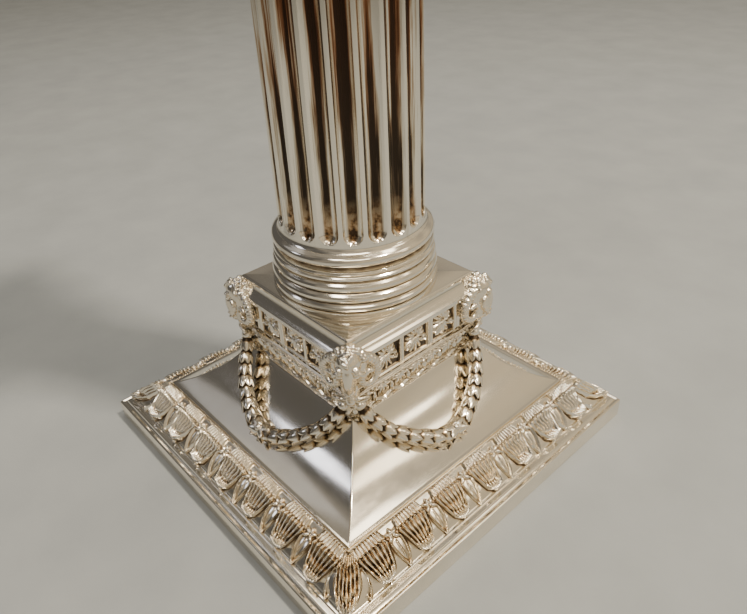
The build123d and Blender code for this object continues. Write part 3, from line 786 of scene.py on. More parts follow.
def border_relief(along, down, out):
    """Height of the leaf border: leaves and tongues in turn, and a narrow leaf on each mitre."""
    x, between = repeats(along, LEAF_PITCH)
    down = np.broadcast_to(down, along.shape)
    raised = np.maximum(border_leaf(x, down), border_tongue(between, down))
    from_mitre = (out - np.abs(along)) / math.sqrt(2)
    corner = border_leaf(from_mitre * np.interp(down, (1, 6, 10), (2.6, 1.5, 1.0)), down)
    taken = np.interp(down, (0, 5, 9, 12, 14), (0.4, 2.4, 5.2, 5.6, 4.4))
    room = smooth_step(-0.3, 0.7, from_mitre - taken)
    raised = corner * (1 - room) + raised * room
    edges = smooth_step(0.2, 0.9, down) * smooth_step(BORDER_WIDTH, 14.2, down)
    bands = crease(down - 0.5, 0.35, 0.75) + crease(down - 14.8, 0.45, 0.8)
    return np.maximum(raised * edges, bands) - 0.95


def leaf_border():
    face = [
        (BORDER_INNER, BORDER_TOP),
        ((BORDER_INNER + 7.1, BORDER_TOP - 2.8), (BORDER_OUTER, RIM_TOP)),
    ]
    back = [
        (BORDER_OUTER - 1.8, RIM_TOP),
        ((BORDER_INNER + 6.2, BORDER_TOP - 3.9), (BORDER_INNER, BORDER_TOP - 1.3)),
    ]
    grid, recess = relief_side(face, back, border_relief, columns=760, step=0.15)
    return mitred_strip(grid, BORDER_TARNISH_AND_SHADE * recess)


def plinth_riser():
    z = DIE_BOTTOM
    return square_ring([
        (BORDER_INNER, BORDER_TOP - 1.3),
        (BORDER_INNER, BORDER_TOP),
        (BAND_INNER, BORDER_TOP),
        ((36.0, 22.2), (27.0, z)),
        (25.6, z),
        ((35.2, 21.2), (BAND_INNER, BORDER_TOP - 1.3)),
    ], mitre=0.3)


# Die: friezes, moulding and cornice
def swirl(x, y, cx, cy, size, rise):
    """A small scroll: a raised ring with an eye."""
    r = np.hypot(x - cx, y - cy)
    return np.maximum(crease(r - size, 0.34 * size, rise), crease(r, 0.36 * size, 0.85 * rise))


UPPER_PITCH = 12.2              # from one upright bar to the next


def upper_frieze_relief(along, down, out):
    """Plain upright bars with palmettes between them, tied by a scrolled band, on a sunk ground."""
    depth = UPPER_FRIEZE_TOP - UPPER_FRIEZE_BOTTOM
    y = np.broadcast_to(down, along.shape)
    x, b = repeats(along, UPPER_PITCH)
    inner = smooth_step(0.4, 1.0, y) * smooth_step(depth - 0.2, depth - 0.8, y)
    bar = 1.35 * smooth_step(1.15, 0.8, np.abs(b)) - 0.3 * crease(b, 0.3, 1.0)
    band = crease(y - 4.6 - 0.05 * x ** 2, 0.46, 1.25) * smooth_step(4.6, 4.1, np.abs(x))
    ends = swirl(np.abs(x), y, 3.7, 6.6, 0.8, 1.15)
    fan = [petal(np.abs(x), y - 4.4, angle, 0.3, 3.8, 0.62, 1.2)
           for angle in (180, 152, 124, 98)]
    drops = [petal(np.abs(x), y - 4.8, angle, 0.3, length, 0.66, 1.2)
             for angle, length in ((0, 4.8), (27, 4.8), (52, 4.3))]
    motif = np.maximum.reduce([band, ends, *fan, *drops])
    return np.maximum(bar, motif) * inner - 1.05 * inner


LOWER_PITCH = 7.1               # from one palmette to the next


def lower_frieze_relief(along, down, out):
    """Small hanging palmettes and husks over a scalloped lower edge."""
    y = np.broadcast_to(down, along.shape)
    x, b = repeats(along, LOWER_PITCH)
    petals = [petal(np.abs(x), y - 1.0, angle, 0.2, length, 0.72, 0.95)
              for angle, length in ((0, 4.6), (30, 4.3), (62, 2.9))]
    husk = np.maximum(dome(b, y - 4.6, 0.95, 1.9, 0.9), swirl(np.abs(b), y, 0.75, 1.6, 0.62, 0.8))
    hem = crease(y - (6.2 + 0.5 * np.cos(math.tau * along / LOWER_PITCH)), 0.34, 0.85)
    inner = smooth_step(0.1, 0.5, y) * smooth_step(7.2, 6.9, y)
    return np.maximum.reduce([*petals, husk, hem]) * inner - 0.75 * inner


def frieze(reach, low, high, relief):
    face = [(reach, high), (reach, low)]
    back = [(reach - 1.4, low), (reach - 1.4, high)]
    return mitred_ring(*relief_side(face, back, relief, columns=330, step=0.15))


def die_moulding():
    low, high, m = LOWER_FRIEZE_TOP, UPPER_FRIEZE_BOTTOM, MOULDING_HALF
    return square_ring([
        (25.2, low),
        (m - 0.7, low),
        (m - 0.45, low + 0.15),
        ((m - 0.2, low + 0.4), (m - 0.45, low + 0.65)),
        (m - 0.5, low + 0.7),
        ((m, low + 1.2), (m - 0.5, low + 1.7)),
        (m - 0.7, high),
        (25.2, high),
    ])


def cornice():
    c, t = CORNICE_HALF, PLATE_TOP
    return square_ring([
        (14.0, t - 1.2),
        (23.8, t - 1.2),
        (25.2, UPPER_FRIEZE_TOP + 1.3),
        (25.2, UPPER_FRIEZE_TOP),
        (c - 0.4, UPPER_FRIEZE_TOP),
        (c, UPPER_FRIEZE_TOP + 0.4),
        (c, UPPER_FRIEZE_TOP + 1.8),
        ((c - 1.9, UPPER_FRIEZE_TOP + 3.9), (c - 2.7, t - 1.3)),
        (c - 2.4, t - 1.2),
        ((c - 2.35, t - 0.35), (c - 3.0, t)),
        (14.0, t),
    ])


# Ram's heads, drawn with +X as the outward diagonal
HORN_EYE = np.array((36.0, 4.9, 48.2))  # centre of the spiral on the +Y side
HORN_RIDGES = 26


def mirrored(side):
    """What a point is multiplied by to lie on one side of the XZ plane, +1, or the other, -1."""
    return np.array((1, side, 1))


def beside_face(side):
    """Directions for a horn: forward along the die's side, out from that side, and up."""
    s = math.sqrt(0.5)
    return np.array(((s, -s * side, 0), (s, s * side, 0), (0, 0, 1)))


def horn(side):
    """A ridged horn that leaves the crown and winds back, down and round beside the cheek."""
    t = np.linspace(0, 1, 170)
    turn = np.radians(62 + 440 * t)
    radius = 3.55 - 1.8 * t ** 1.1 + 5.0 * np.exp(-t / 0.10)
    lift = -1.2 * np.exp(-t / 0.08) + 0.9 * t ** 2
    local = np.stack([radius * np.cos(turn), lift, radius * np.sin(turn)], 1)
    thick = (1.75 - 1.0 * t ** 0.8) * (1 + 0.10 * np.sin(math.tau * HORN_RIDGES * t ** 0.85))
    thick *= np.clip((1.02 - t) / 0.06, 0.3, 1)
    path = HORN_EYE * mirrored(side) + local @ beside_face(side)
    return tube(path, thick, 14, up=beside_face(side)[1])


def wool():
    """Small tight curls over the crown, down to the roots of the horns and behind them."""
    rng = np.random.default_rng(7)
    curls = []
    for tilt, count in ((4, 1), (20, 6), (36, 10), (52, 14), (68, 17)):
        for k in range(count):
            round_ = math.tau * (k + 0.5 * (count % 4)) / count
            lean = math.sin(math.radians(tilt))
            out, side = lean * math.cos(round_), lean * math.sin(round_)
            if out > 0.45:
                continue
            height = 53.6 + 4.6 * math.cos(math.radians(tilt))
            centre = np.array((37.3 + 4.3 * out, 4.9 * side, height)) + rng.normal(0, 0.1, 3)
            curls.append(ball(centre, rng.uniform(0.72, 0.98, 3), rings=5, sides=8))
    for k in range(14):     # smaller curls down the forehead
        out, height = 40.2 + 0.16 * k, 57.9 - 0.16 * k
        side = rng.uniform(-1, 1) * (2.2 - 0.09 * k)
        curls.append(ball((out, side, height), rng.uniform(0.5, 0.8, 3), rings=5, sides=8))
    return curls


def ribbon():
    """The knot under the chin that the swags hang from, with two bows and two tails."""
    bow = through((
        (38.4, 0, 41.0), (38.9, 2.4, 42.1), (37.4, 4.6, 41.6), (37.0, 4.2, 40.2), (38.2, 1.6, 40.2)), 30)
    tail = through(((38.6, 0.4, 40.6), (38.9, 1.0, 38.9), (38.5, 0.7, 37.6), (38.9, 1.3, 36.4)), 20)
    parts = [ball((38.7, 0, 40.9), (1.7, 1.5, 1.6))]
    for side in (-1, 1):
        parts.append(tube(bow * mirrored(side), 0.72, 10, 0.7))
        parts.append(tube(tail * mirrored(side), np.linspace(0.65, 0.85, 20), 10, 0.6, up=(1, 0, 0)))
    return parts


def ram_head():
    """A ram's head on a corner of the die, melted into one skin."""
    nose = through(((39.6, 0, 55.0), (41.1, 0, 52.4), (41.9, 0, 49.4), (41.7, 0, 46.4)), 24)
    cheek = through(((38.6, 0, 54.0), (39.2, 0, 50.5), (39.8, 0, 47.4), (40.3, 0, 45.4)), 24)
    parts = [
        ball((36.6, 0, 52.0), (4.2, 5.2, 6.0)),                         # neck, against the die's corner
        ball((38.5, 0, 54.2), (3.8, 3.8, 3.9)),                         # skull
        tube(nose, np.linspace(1.95, 1.0, 24), 16, up=(0, 1, 0)),       # convex bridge of the nose
        tube(cheek, np.linspace(3.3, 1.7, 24), 16, 0.9, up=(0, 1, 0)),  # cheeks
        ball((41.0, 0, 45.9), (1.75, 1.6, 1.8)),                        # muzzle
        ball((40.3, 0, 44.0), (1.7, 1.3, 1.1)),                         # jaw
        ball((38.0, 0, 44.6), (2.4, 2.7, 4.2)),                         # throat
    ]
    for side in (-1, 1):
        off = beside_face(side)[1]
        eye = HORN_EYE * mirrored(side)
        parts += [
            horn(side),
            ball(eye - 1.8 * off, (1.0, 3.2, 3.3), (0, 0, side * 45)),          # wool behind the spiral
            ball((41.3, side * 2.15, 54.3), (1.25, 1.2, 0.7), (0, 14, 0)),      # brow
            ball((41.5, side * 2.35, 52.9), (0.75, 0.75, 0.7)),                 # eye
            ball((41.2, side * 2.4, 52.0), (0.95, 0.95, 0.42), (0, 20, 0)),     # lower lid
            ball((40.0, side * 3.5, 51.4), (0.8, 1.8, 0.9), (-side * 42, 0, side * 25)),    # ear
            ball((42.5, side * 0.8, 46.1), (0.5, 0.45, 0.4)),                   # nostril
            ball((41.9, side * 0.9, 44.8), (0.9, 0.8, 0.45)),                   # lip
        ]
    parts += wool() + ribbon()
    return fused(join(parts), voxel=0.22, smoothing=2)


# Laurel swags, drawn on the +X side
SWAG_HALF_PATH = (
    (41.6, 0.0, 20.9), (40.6, 5.6, 21.5), (39.2, 10.2, 23.3), (36.6, 15.5, 26.3),
    (33.2, 20.2, 30.2), (29.6, 23.4, 35.0), (28.0, 24.7, 38.4))
LEAF_RINGS = 9                  # rings of leaves from the middle of a swag to an end
LEAVES_ROUND = 6
LAUREL_LENGTH = 6.3
LAUREL_WIDTH = 3.8
LAUREL_LIFT = 1.25              # from the swag's middle line to a leaf's underside
GAP_TARNISH_AND_SHADE = 1.55              # how much darker, by tarnish and painted shade, the gaps between the leaves are than other recesses


def laurel_leaf(length, width):
    """A pointed leaf along +X with a midrib, lying on the XY plane, its root at the origin."""
    rings = []
    recess = []
    around = np.linspace(0, math.tau, 16, endpoint=False)
    over = np.sin(around)
    for u in np.linspace(0.02, 0.99, 12):
        w = 0.5 * width * math.sin(math.pi * u ** 0.9) ** 0.5
        y = w * np.cos(around)
        crown = np.where(over > 0, over * (0.55 + 0.55 * math.sin(math.pi * u)), 0.35 * over)
        rib = crease(y, 0.3, 0.16) * (over > 0)
        lift = 1.2 * u ** 1.6
        rings.append(np.stack([np.full(16, u * length), y, crown + rib + lift], 1))
        # darker at each leaf's root and along its edges, where the leaves overlap: tarnish and painted
        # shade
        root = np.clip(1.5 - 2.1 * u - 0.4 * np.clip(over, 0, 1), 0, 1)
        recess.append(root + 0.7 * (np.abs(np.cos(around)) > 0.85))
    return loft(rings, np.clip(recess, 0, 1))


def swag():
    """A rope of laurel leaves that hangs between two ram's heads, thickest at its lowest point."""
    half_path = through(SWAG_HALF_PATH, 120)
    whole = np.vstack([half_path[::-1][:-1] * mirrored(-1), half_path])
    share = travelled(whole)
    share = np.abs(2 * share / share[-1] - 1)
    points, faces, _ = tube(whole, 1.95 - 0.6 * share, 12, up=(1, 0, 0.3))
    # the rope under the leaves counts as fully recessed, so it shows dark between them: painted shade and
    # tarnish
    parts = [(points, faces, np.ones(len(points)))]
    for side in (-1, 1):
        parts.append(ball(half_path[-1] * mirrored(side), (1.9, 1.9, 1.7)))
    reach = travelled(half_path)
    places = np.linspace(reach[-1] - 1.0, 2.4, LEAF_RINGS)
    for side in (-1, 1):
        for ring, place in enumerate(places):
            at, to = (np.array([np.interp(here, reach, half_path[:, k]) for k in range(3)]) * mirrored(side)
                      for here in (place, place - 1.2))
            ahead = (to - at) / np.linalg.norm(to - at)
            first = np.cross(ahead, (0.5, 0, 1.0))
            first /= np.linalg.norm(first)
            second = np.cross(ahead, first)
            size = 1 - 0.26 * place / reach[-1]
            leaf, faces, recess = laurel_leaf(LAUREL_LENGTH * size, LAUREL_WIDTH * size)
            for k in range(LEAVES_ROUND):
                a = math.tau * (k + 0.5 * (ring % 2)) / LEAVES_ROUND
                up = first * math.cos(a) + second * math.sin(a)
                flat = leaf[:, :1] * ahead + leaf[:, 1:2] * np.cross(up, ahead)
                parts.append((flat + (leaf[:, 2:] + LAUREL_LIFT) * size * up + at, faces, recess))
    parts.append(ball((42.4, 0, 20.9), (1.6, 1.4, 1.6)))        # a rosette at the lowest point
    for k in range(6):
        a = math.tau * k / 6
        petal_place = (41.8 + math.cos(a), 2.0 * math.sin(a), 20.9 + 2.0 * math.cos(a))
        parts.append(ball(petal_place, (1.3, 1.1, 1.2)))
    points, faces, recess = join(parts)
    return points, faces, GAP_TARNISH_AND_SHADE * recess


# Column: moulded base, fluted shaft, neck ring
def column_base():
    z = PLATE_TOP
    outline = [(19.0, z), (25.4, z), (25.4, z + 1.1), (24.7, z + 1.3)]
    for low, high, root, crest in (
            (1.5, 3.7, 24.7, 25.4), (4.2, 6.9, 24.4, 25.3), (7.3, 10.2, 24.0, 24.9),
            (10.9, 12.2, 23.8, 24.4), (12.5, 13.9, 23.5, 24.3), (15.0, 18.2, 23.2, 24.4)):
        outline.append((root, z + low))
        outline.append(((crest, z + (low + high) / 2), (root, z + high)))
    outline += [(22.6, COLUMN_BASE_TOP), (19.0, COLUMN_BASE_TOP)]
    return lathe(outline, 220)


FLUTES = 20
FLUTE_START = -39.4             # direction of a flute, in degrees from +X
SHAFT_FOOT = 21.7               # radius over the fillets at the foot
SHAFT_HEAD = 19.9               # and at the top
HOLLOW = 3.2 / SHAFT_FOOT       # radius of a flute's hollow, as a share of the shaft's radius
HOLLOW_DEPTH = 1.8 / SHAFT_FOOT
FLUTE_FOOT = 5.2                # centre of a flute's lower round end, up from the shaft's foot
FLUTE_HEAD = 7.4                # centre of its upper round end, down from the shaft's top
EDGE_ROUNDING = 0.14            # between a flute and its fillets
PAINTED_REFLECTION_LEAN = 0.46                # how far a flute's painted dark reflection leans from its middle, in half widths
FILM_SHADE_REFLECTION_WIDTH = 0.52               # how far a flute's tarnish, painted shade and painted dark reflection spread, in half widths
BORE_HEAD, BORE_FOOT = 17.2, 19.0       # radii of the hollow inside the shaft


def softer_least(first, second, rounding):
    """The lesser of two values, with the corner between them rounded."""
    return 0.5 * (first + second - np.sqrt((first - second) ** 2 + rounding ** 2))


def shaft_radius(heights):
    """The shaft's radius: a slightly swelling taper that flares at the foot and at the top."""
    low, high = COLUMN_BASE_TOP, SHAFT_TOP
    share = np.clip((heights - low - 1.7) / (high - low - 5.7), 0, 1)
    radius = SHAFT_FOOT + (SHAFT_HEAD - SHAFT_FOOT) * share + 0.35 * np.sin(math.pi * share)
    radius += 0.8 * np.clip(1 - (heights - low) / 1.7, 0, 1) ** 2.2
    return radius + 1.3 * smooth_step(high - 4.0, high - 1.9, heights)


def column_shaft():
    """Twenty round-ended flutes with narrow fillets between them."""
    low, high = COLUMN_BASE_TOP, SHAFT_TOP
    foot, head = low + FLUTE_FOOT, high - FLUTE_HEAD
    ends = math.sqrt(HOLLOW ** 2 - (HOLLOW - HOLLOW_DEPTH) ** 2) * np.sin(np.linspace(0, math.pi / 2, 13))
    ends = np.concatenate([ends, ends[-1:] + (0.004, 0.012)])
    heights = np.concatenate([
        low + np.array((0, 0.15, 0.35, 0.7, 1.1, 1.5)),
        foot - SHAFT_FOOT * ends[::-1],
        foot + np.linspace(0, 1, 46)[1:-1] * (head - foot),
        head + SHAFT_HEAD * ends,
        high - np.array((4.1, 3.6, 3.1, 2.6, 2.2, 1.95, 1.7, 1.0, 0)),
    ])
    radius = shaft_radius(heights)
    beyond = np.maximum(np.maximum(foot - heights, heights - head), 0) / radius
    centre = 1 - HOLLOW_DEPTH + HOLLOW
    widest = math.acos((1 + centre ** 2 - HOLLOW ** 2) / (2 * centre))
    edge = np.arccos(np.clip((1 + centre ** 2 - HOLLOW ** 2 + beyond ** 2) / (2 * centre), -1, 1))
    edge = np.maximum(edge, 0.05 * widest)
    half_steps = np.array((0.2, 0.4, 0.58, 0.73, 0.84, 0.91, 0.955, 0.985, 1.0, 1.012, 1.03, 1.06))
    inside = np.concatenate([-half_steps[::-1], [0], half_steps])
    gap = np.array((0.2, 0.5, 0.8))
    pitch = math.tau / FLUTES
    # each flute's band is moved to one side by the sine of its turn from the first flute, which faces the
    # camera: a painted dark reflection
    lean = PAINTED_REFLECTION_LEAN * np.sin(np.arange(FLUTES) * pitch)[:, None]
    rows, depths = [], []
    for z, r, e, past in zip(heights, radius, edge, beyond):
        rim = inside[-1] * e
        local = np.concatenate([inside * e, rim + gap * (pitch - 2 * rim)])
        reach2 = HOLLOW ** 2 - past ** 2 - (centre * np.sin(local)) ** 2
        hollow = centre * np.cos(local) - np.sqrt(np.maximum(reach2, 0))
        hollow = np.where((reach2 > 0) & (np.abs(local) < 1.1 * widest), hollow, 1.1)
        made = r * softer_least(hollow, 1.0, EDGE_ROUNDING / r)
        angles = (np.arange(FLUTES)[:, None] * pitch + local[None, :] + math.radians(FLUTE_START)).ravel()
        made_all = np.tile(made, FLUTES)
        height = np.full(len(angles), z)
        rows.append(np.stack([made_all * np.cos(angles), made_all * np.sin(angles), height], 1))
        depth = np.clip((r - made) / (HOLLOW_DEPTH * r), 0, 1)
        # recess: the flute's depth narrowed to a band, for tarnish, painted shade and the painted dark
        # reflection
        depths.append(crease(local / e - lean, FILM_SHADE_REFLECTION_WIDTH, depth).ravel())
    columns = len(rows[0])
    bore = np.stack([np.cos(angles), np.sin(angles), np.zeros(columns)], 1)
    rows.append(bore * BORE_HEAD + np.array((0, 0, high)))
    rows.append(bore * BORE_FOOT + np.array((0, 0, low)))
    depths += [np.zeros(columns)] * 2
    return np.vstack(rows), grid_faces(len(rows), columns, True, True), np.concatenate(depths)


def neck_ring():
    z = SHAFT_TOP
    return lathe([
        (17.2, z),
        (21.4, z),
        ((22.6, z + 1.4), (21.4, z + 2.8)),
        (20.9, z + 3.1),
        (20.9, NECK_TOP),
        (17.2, NECK_TOP),
    ])


# Corinthian capital
BELL_FOOT = 19.2                # radius
BELL_WAIST = 264.0              # height at which the bell begins to flare


def capital_bell():
    return lathe([
        (BELL_FOOT - 1.2, NECK_TOP),
        (BELL_FOOT, NECK_TOP),
        (BELL_FOOT, BELL_WAIST),
        ((20.7, 275.5), (25.0, BELL_TOP)),
        (23.3, BELL_TOP),
        ((19.4, 276.0), (BELL_FOOT - 1.2, BELL_WAIST)),
    ])


def acanthus(line, base_width, lobes):
    """One leaf whose middle follows a line of (radius, height) points, from root to curled tip."""
    middle = through(line, 96)
    t = travelled(middle)
    t /= t[-1]
    tangent = unit(np.gradient(middle, axis=0))
    normal = np.stack([tangent[:, 1], -tangent[:, 0]], 1)
    q = np.linspace(-1, 1, 61)
    swell = np.interp(t, (0, 0.12, 0.55, 0.8, 0.93, 1.0), (0.80, 0.86, 1.0, 0.72, 0.45, 0.12))
    notch = np.abs(np.sin(math.pi * lobes * (t + 0.02))) ** 0.45
    wide = base_width * swell * (0.74 + 0.26 * np.where(t < 0.9, notch, 1.0))
    serration = 1 + 0.025 * np.cos(math.tau * t * lobes * 3)
    across = wide[:, None] * serration[:, None] * q[None, :]
    fan = q[None, :] * (1.15 - 0.5 * t[:, None])
    veins = 0.28 * np.cos(math.tau * 4.5 * fan) * smooth_step(0.08, 0.35, np.abs(q))[None, :]
    midrib = crease(across, 0.75, 0.75)
    flutes = crease(np.abs(across) - 1.8, 0.8, -0.55)
    eye_t = ((t * lobes + 0.02 * lobes) % 1.0)[:, None]
    eyes = -0.9 * np.exp(-((eye_t - 0.02) / 0.10) ** 2 - ((np.abs(q)[None, :] - 0.62) / 0.14) ** 2)
    cup = -0.9 * q[None, :] ** 2 * smooth_step(0.0, 0.5, t)[:, None]
    cup = cup + 0.35 * np.cos(math.tau * lobes * t)[:, None] * np.abs(q)[None, :] ** 2
    relief = veins + midrib + flutes + eyes
    raised = 0.55 + relief + cup
    sheets = []
    for lift in (raised, raised - 0.85 - 0.6 * (relief > 0) * relief):
        out = middle[:, :1] + normal[:, :1] * lift
        up = middle[:, 1:] + normal[:, 1:] * lift
        angle = across / np.maximum(middle[:, :1], 20.0)
        sheets.append(np.stack([out * np.cos(angle), out * np.sin(angle), up], 2))
    rings = np.concatenate([sheets[0], sheets[1][:, ::-1]], 1)
    # recess: the low parts of each leaf, and its back at 0.3, darkened as tarnish and painted shade
    depth = np.clip(0.15 - relief * 1.1, 0, 1)
    return loft(rings, np.concatenate([depth, np.full(depth.shape, 0.3)], 1))


def acanthus_tier(line, base_width, lobes, first):
    """Eight leaves round the bell, the first at an angle from +X."""
    leaf = acanthus(line, base_width, lobes)
    return join([turned_about_z(leaf, first + 45 * k) for k in range(8)])


def acanthus_upper():
    line = ((20.0, NECK_TOP), (20.1, 252.0), (20.2, 262.0), (21.9, 269.5), (25.2, 273.2), (27.6, 272.6),
            (28.2, 270.2))
    return acanthus_tier(line, base_width=7.6, lobes=5, first=0)


def acanthus_lower():
    line = ((20.9, NECK_TOP), (21.2, 249.0), (22.0, 254.6), (24.3, 258.8), (26.6, 258.9), (27.6, 256.8))
    return acanthus_tier(line, base_width=7.9, lobes=4, first=22.5)


VOLUTE_OUT = 32.6               # eye of a volute, out along its diagonal
VOLUTE_HEIGHT = 279.6


def volute():
    """A corner scroll: a channelled band that rises from the leaves and winds into its eye."""
    stem = through(((20.6, 275.4), (22.6, 278.4), (25.8, 281.2), (29.2, 283.0)), 22)
    angle = math.radians(100) - np.linspace(0, 1, 110) * math.radians(700)
    size = 3.9 * (1 - np.linspace(0, 1, 110) * 0.80)
    coil = np.stack([VOLUTE_OUT + size * np.cos(angle), VOLUTE_HEIGHT + size * np.sin(angle)], 1)
    path = np.vstack([stem, coil])
    ahead = unit(np.gradient(path, axis=0))
    normal = np.stack([-ahead[:, 1], ahead[:, 0]], 1)
    section_y = np.array((-1, -0.8, -0.62, -0.3, 0, 0.3, 0.62, 0.8, 1, 1, 0.7, 0, -0.7, -1))
    section_z = np.array((0.6, 1.15, 0.9, 0.15, 0, 0.15, 0.9, 1.15, 0.6, -0.6, -0.9, -0.9, -0.9, -0.6))
    rings, recess = [], []
    for k, (at, n) in enumerate(zip(path, normal)):
        share = k / len(path)
        wide = 1.9 + 1.1 * smooth_step(0.0, 0.3, share) - 0.25 * smooth_step(0.6, 1, share)
        thick = 0.52 - 0.2 * smooth_step(0.4, 1.0, share)
        z = thick * section_z
        rings.append(np.stack([at[0] + n[0] * z, wide * section_y, at[1] + n[1] * z], 1))
        # recess: the channel of the band and its underside, darkened as tarnish and painted shade
        recess.append((0, 0, 0.2, 0.8, 0.9, 0.8, 0.2, 0, 0, 0.3, 0.6, 0.6, 0.6, 0.3))
    return join([loft(rings, recess), ball((VOLUTE_OUT, 0, VOLUTE_HEIGHT), (1.15, 2.7, 1.15))])


def abacus_plan(inset, samples=26):
    """The plan of the abacus: four hollow sides and four cut corners, inset all round."""
    reach = ABACUS_HALF - inset
    corner = ABACUS_HALF - 4.4 - inset / 2
    waist = ABACUS_HALF - 5.6 - inset
    side = arc((reach, -corner), (waist, 0.0), (reach, corner), 0.01)
    side = np.array([(reach, -corner), *side])
    side = side[np.linspace(0, len(side) - 1, samples).astype(int)]
    cut = np.linspace((reach, corner), (corner, reach), 5)[1:-1]
    return quarter_turns(np.vstack([side, cut]))


def abacus():
    outer = (       # how far in from the edge, and how far up
        (2.2, 0.0), (1.75, 0.0), (1.6, 0.1), (1.5, 0.4), (1.35, 1.4), (0.95, 2.3), (0.3, 2.95), (0.2, 3.05),
        (0.2, 3.4), (0.35, 3.55), (0.35, 3.8), (0.1, 4.0), (0.0, 4.4), (0.0, 5.0), (0.12, 5.7), (0.4, 6.3),
        (0.8, 6.75), (1.2, 6.95), (1.5, ABACUS_TOP - BELL_TOP), (2.0, ABACUS_TOP - BELL_TOP))
    groove = (0.2, 0.3, 0.4, 0.5, 0.6, 0.4, 0.2, 0.2, 0.3, 0.7, 0.7, 0.3) + (0,) * 10
    rings = [(abacus_plan(inset), BELL_TOP + rise) for inset, rise in outer]
    angles = np.arctan2(rings[0][0][:, 1], rings[0][0][:, 0])
    hole = SOCKET_OUTER * np.stack([np.cos(angles), np.sin(angles)], 1)
    rings += [(hole, ABACUS_TOP), (hole, BELL_TOP)]
    rows = [np.column_stack([plan, np.full(len(plan), height)]) for plan, height in rings]
    return np.vstack(rows), grid_faces(len(rows), len(hole), True, True), np.repeat(groove, len(hole))


def fleuron():
    """A five-petalled flower on the middle of a hollow side, drawn on the +X side."""
    out, height = half("fleuron_right") - 3.2, (BELL_TOP + ABACUS_TOP) / 2
    parts = [ball((out + 1.9, 0, height), (1.0, 1.0, 1.0))]
    for k in range(5):
        a = math.tau * k / 5
        for forward, reach, turned, radii in (
                (0.9, 1.95, a, (0.95, 1.15, 1.45)), (0.5, 2.4, a + math.tau / 10, (0.5, 0.6, 1.1))):
            place = (out + forward, reach * math.sin(turned), height + reach * math.cos(turned))
            parts.append(ball(place, radii, (-math.degrees(turned), 0, 0)))
    return fused(join(parts), voxel=0.16, smoothing=2)


# Socket and nozzle
def cup(outer, low, high, wall, floor, segments):
    """A round cup with a pinhole in its floor."""
    return lathe([
        (0.4, low),
        (outer, low),
        (outer, high),
        (outer - wall, high),
        (outer - wall, low + floor),
        (0.4, low + floor),
    ], segments)


def candle_socket():
    return cup(SOCKET_OUTER, SOCKET_BOTTOM, ABACUS_TOP, wall=0.9, floor=0.9, segments=96)


def nozzle_sleeve():
    return cup(SLEEVE_OUTER, SLEEVE_BOTTOM, NOZZLE_TOP, wall=1.0, floor=1.3, segments=128)


def drip_pan():
    z, p = ABACUS_TOP, PAN_HALF
    return square_ring([
        (SLEEVE_OUTER, z),
        (13.0, z),
        (20.0, z),
        ((25.6, z + 1.3), (p, PAN_EDGE - 0.9)),
        (p - 0.9, PAN_EDGE),
        ((24.9, z + 2.6), (19.6, z + 1.4)),
        (13.0, z + 1.4),
        (SLEEVE_OUTER, z + 1.4),
    ], round_within=13.5, fill=15)


def gadroons(along, down, out):
    """Slanted lobes with a narrow sunk gap between them, round the edge of the drip pan."""
    x = (along + 0.5 * down) % 2.9 - 1.45
    y = np.broadcast_to(down, along.shape) / 4.4
    profile = np.sin(math.pi * np.clip(y, 0, 1)) ** 0.5
    lobe = 0.55 * np.sqrt(np.clip(1 - (x / 1.3) ** 2, 0, 1)) * profile
    mitre = smooth_step(0.2, 1.6, out - np.abs(along))
    return lobe * mitre + 0.5 * (1 - mitre) * profile - 0.55


def drip_pan_border():
    p, z, t = PAN_HALF, PAN_EDGE, PAN_BORDER_TOP
    face = [(p - 1.7, z + 0.4), ((p - 0.4, t), (p + 0.6, z - 0.4))]
    back = [(p, z - 0.9), (p - 0.9, z)]
    return mitred_ring(*relief_side(face, back, gadroons, columns=320, step=0.22))


def nozzle_collar():
    z, r = ABACUS_TOP + 1.4, SLEEVE_OUTER
    return lathe([
        (r, z),
        (COLLAR_HALF, z),
        (COLLAR_HALF, z + 0.4),
        ((13.2, z + 1.8), (13.0, z + 4.6)),
        (13.6, z + 5.0),
        ((13.9, z + 5.8), (13.0, NOZZLE_TOP)),
        (r, NOZZLE_TOP),
    ], 128)


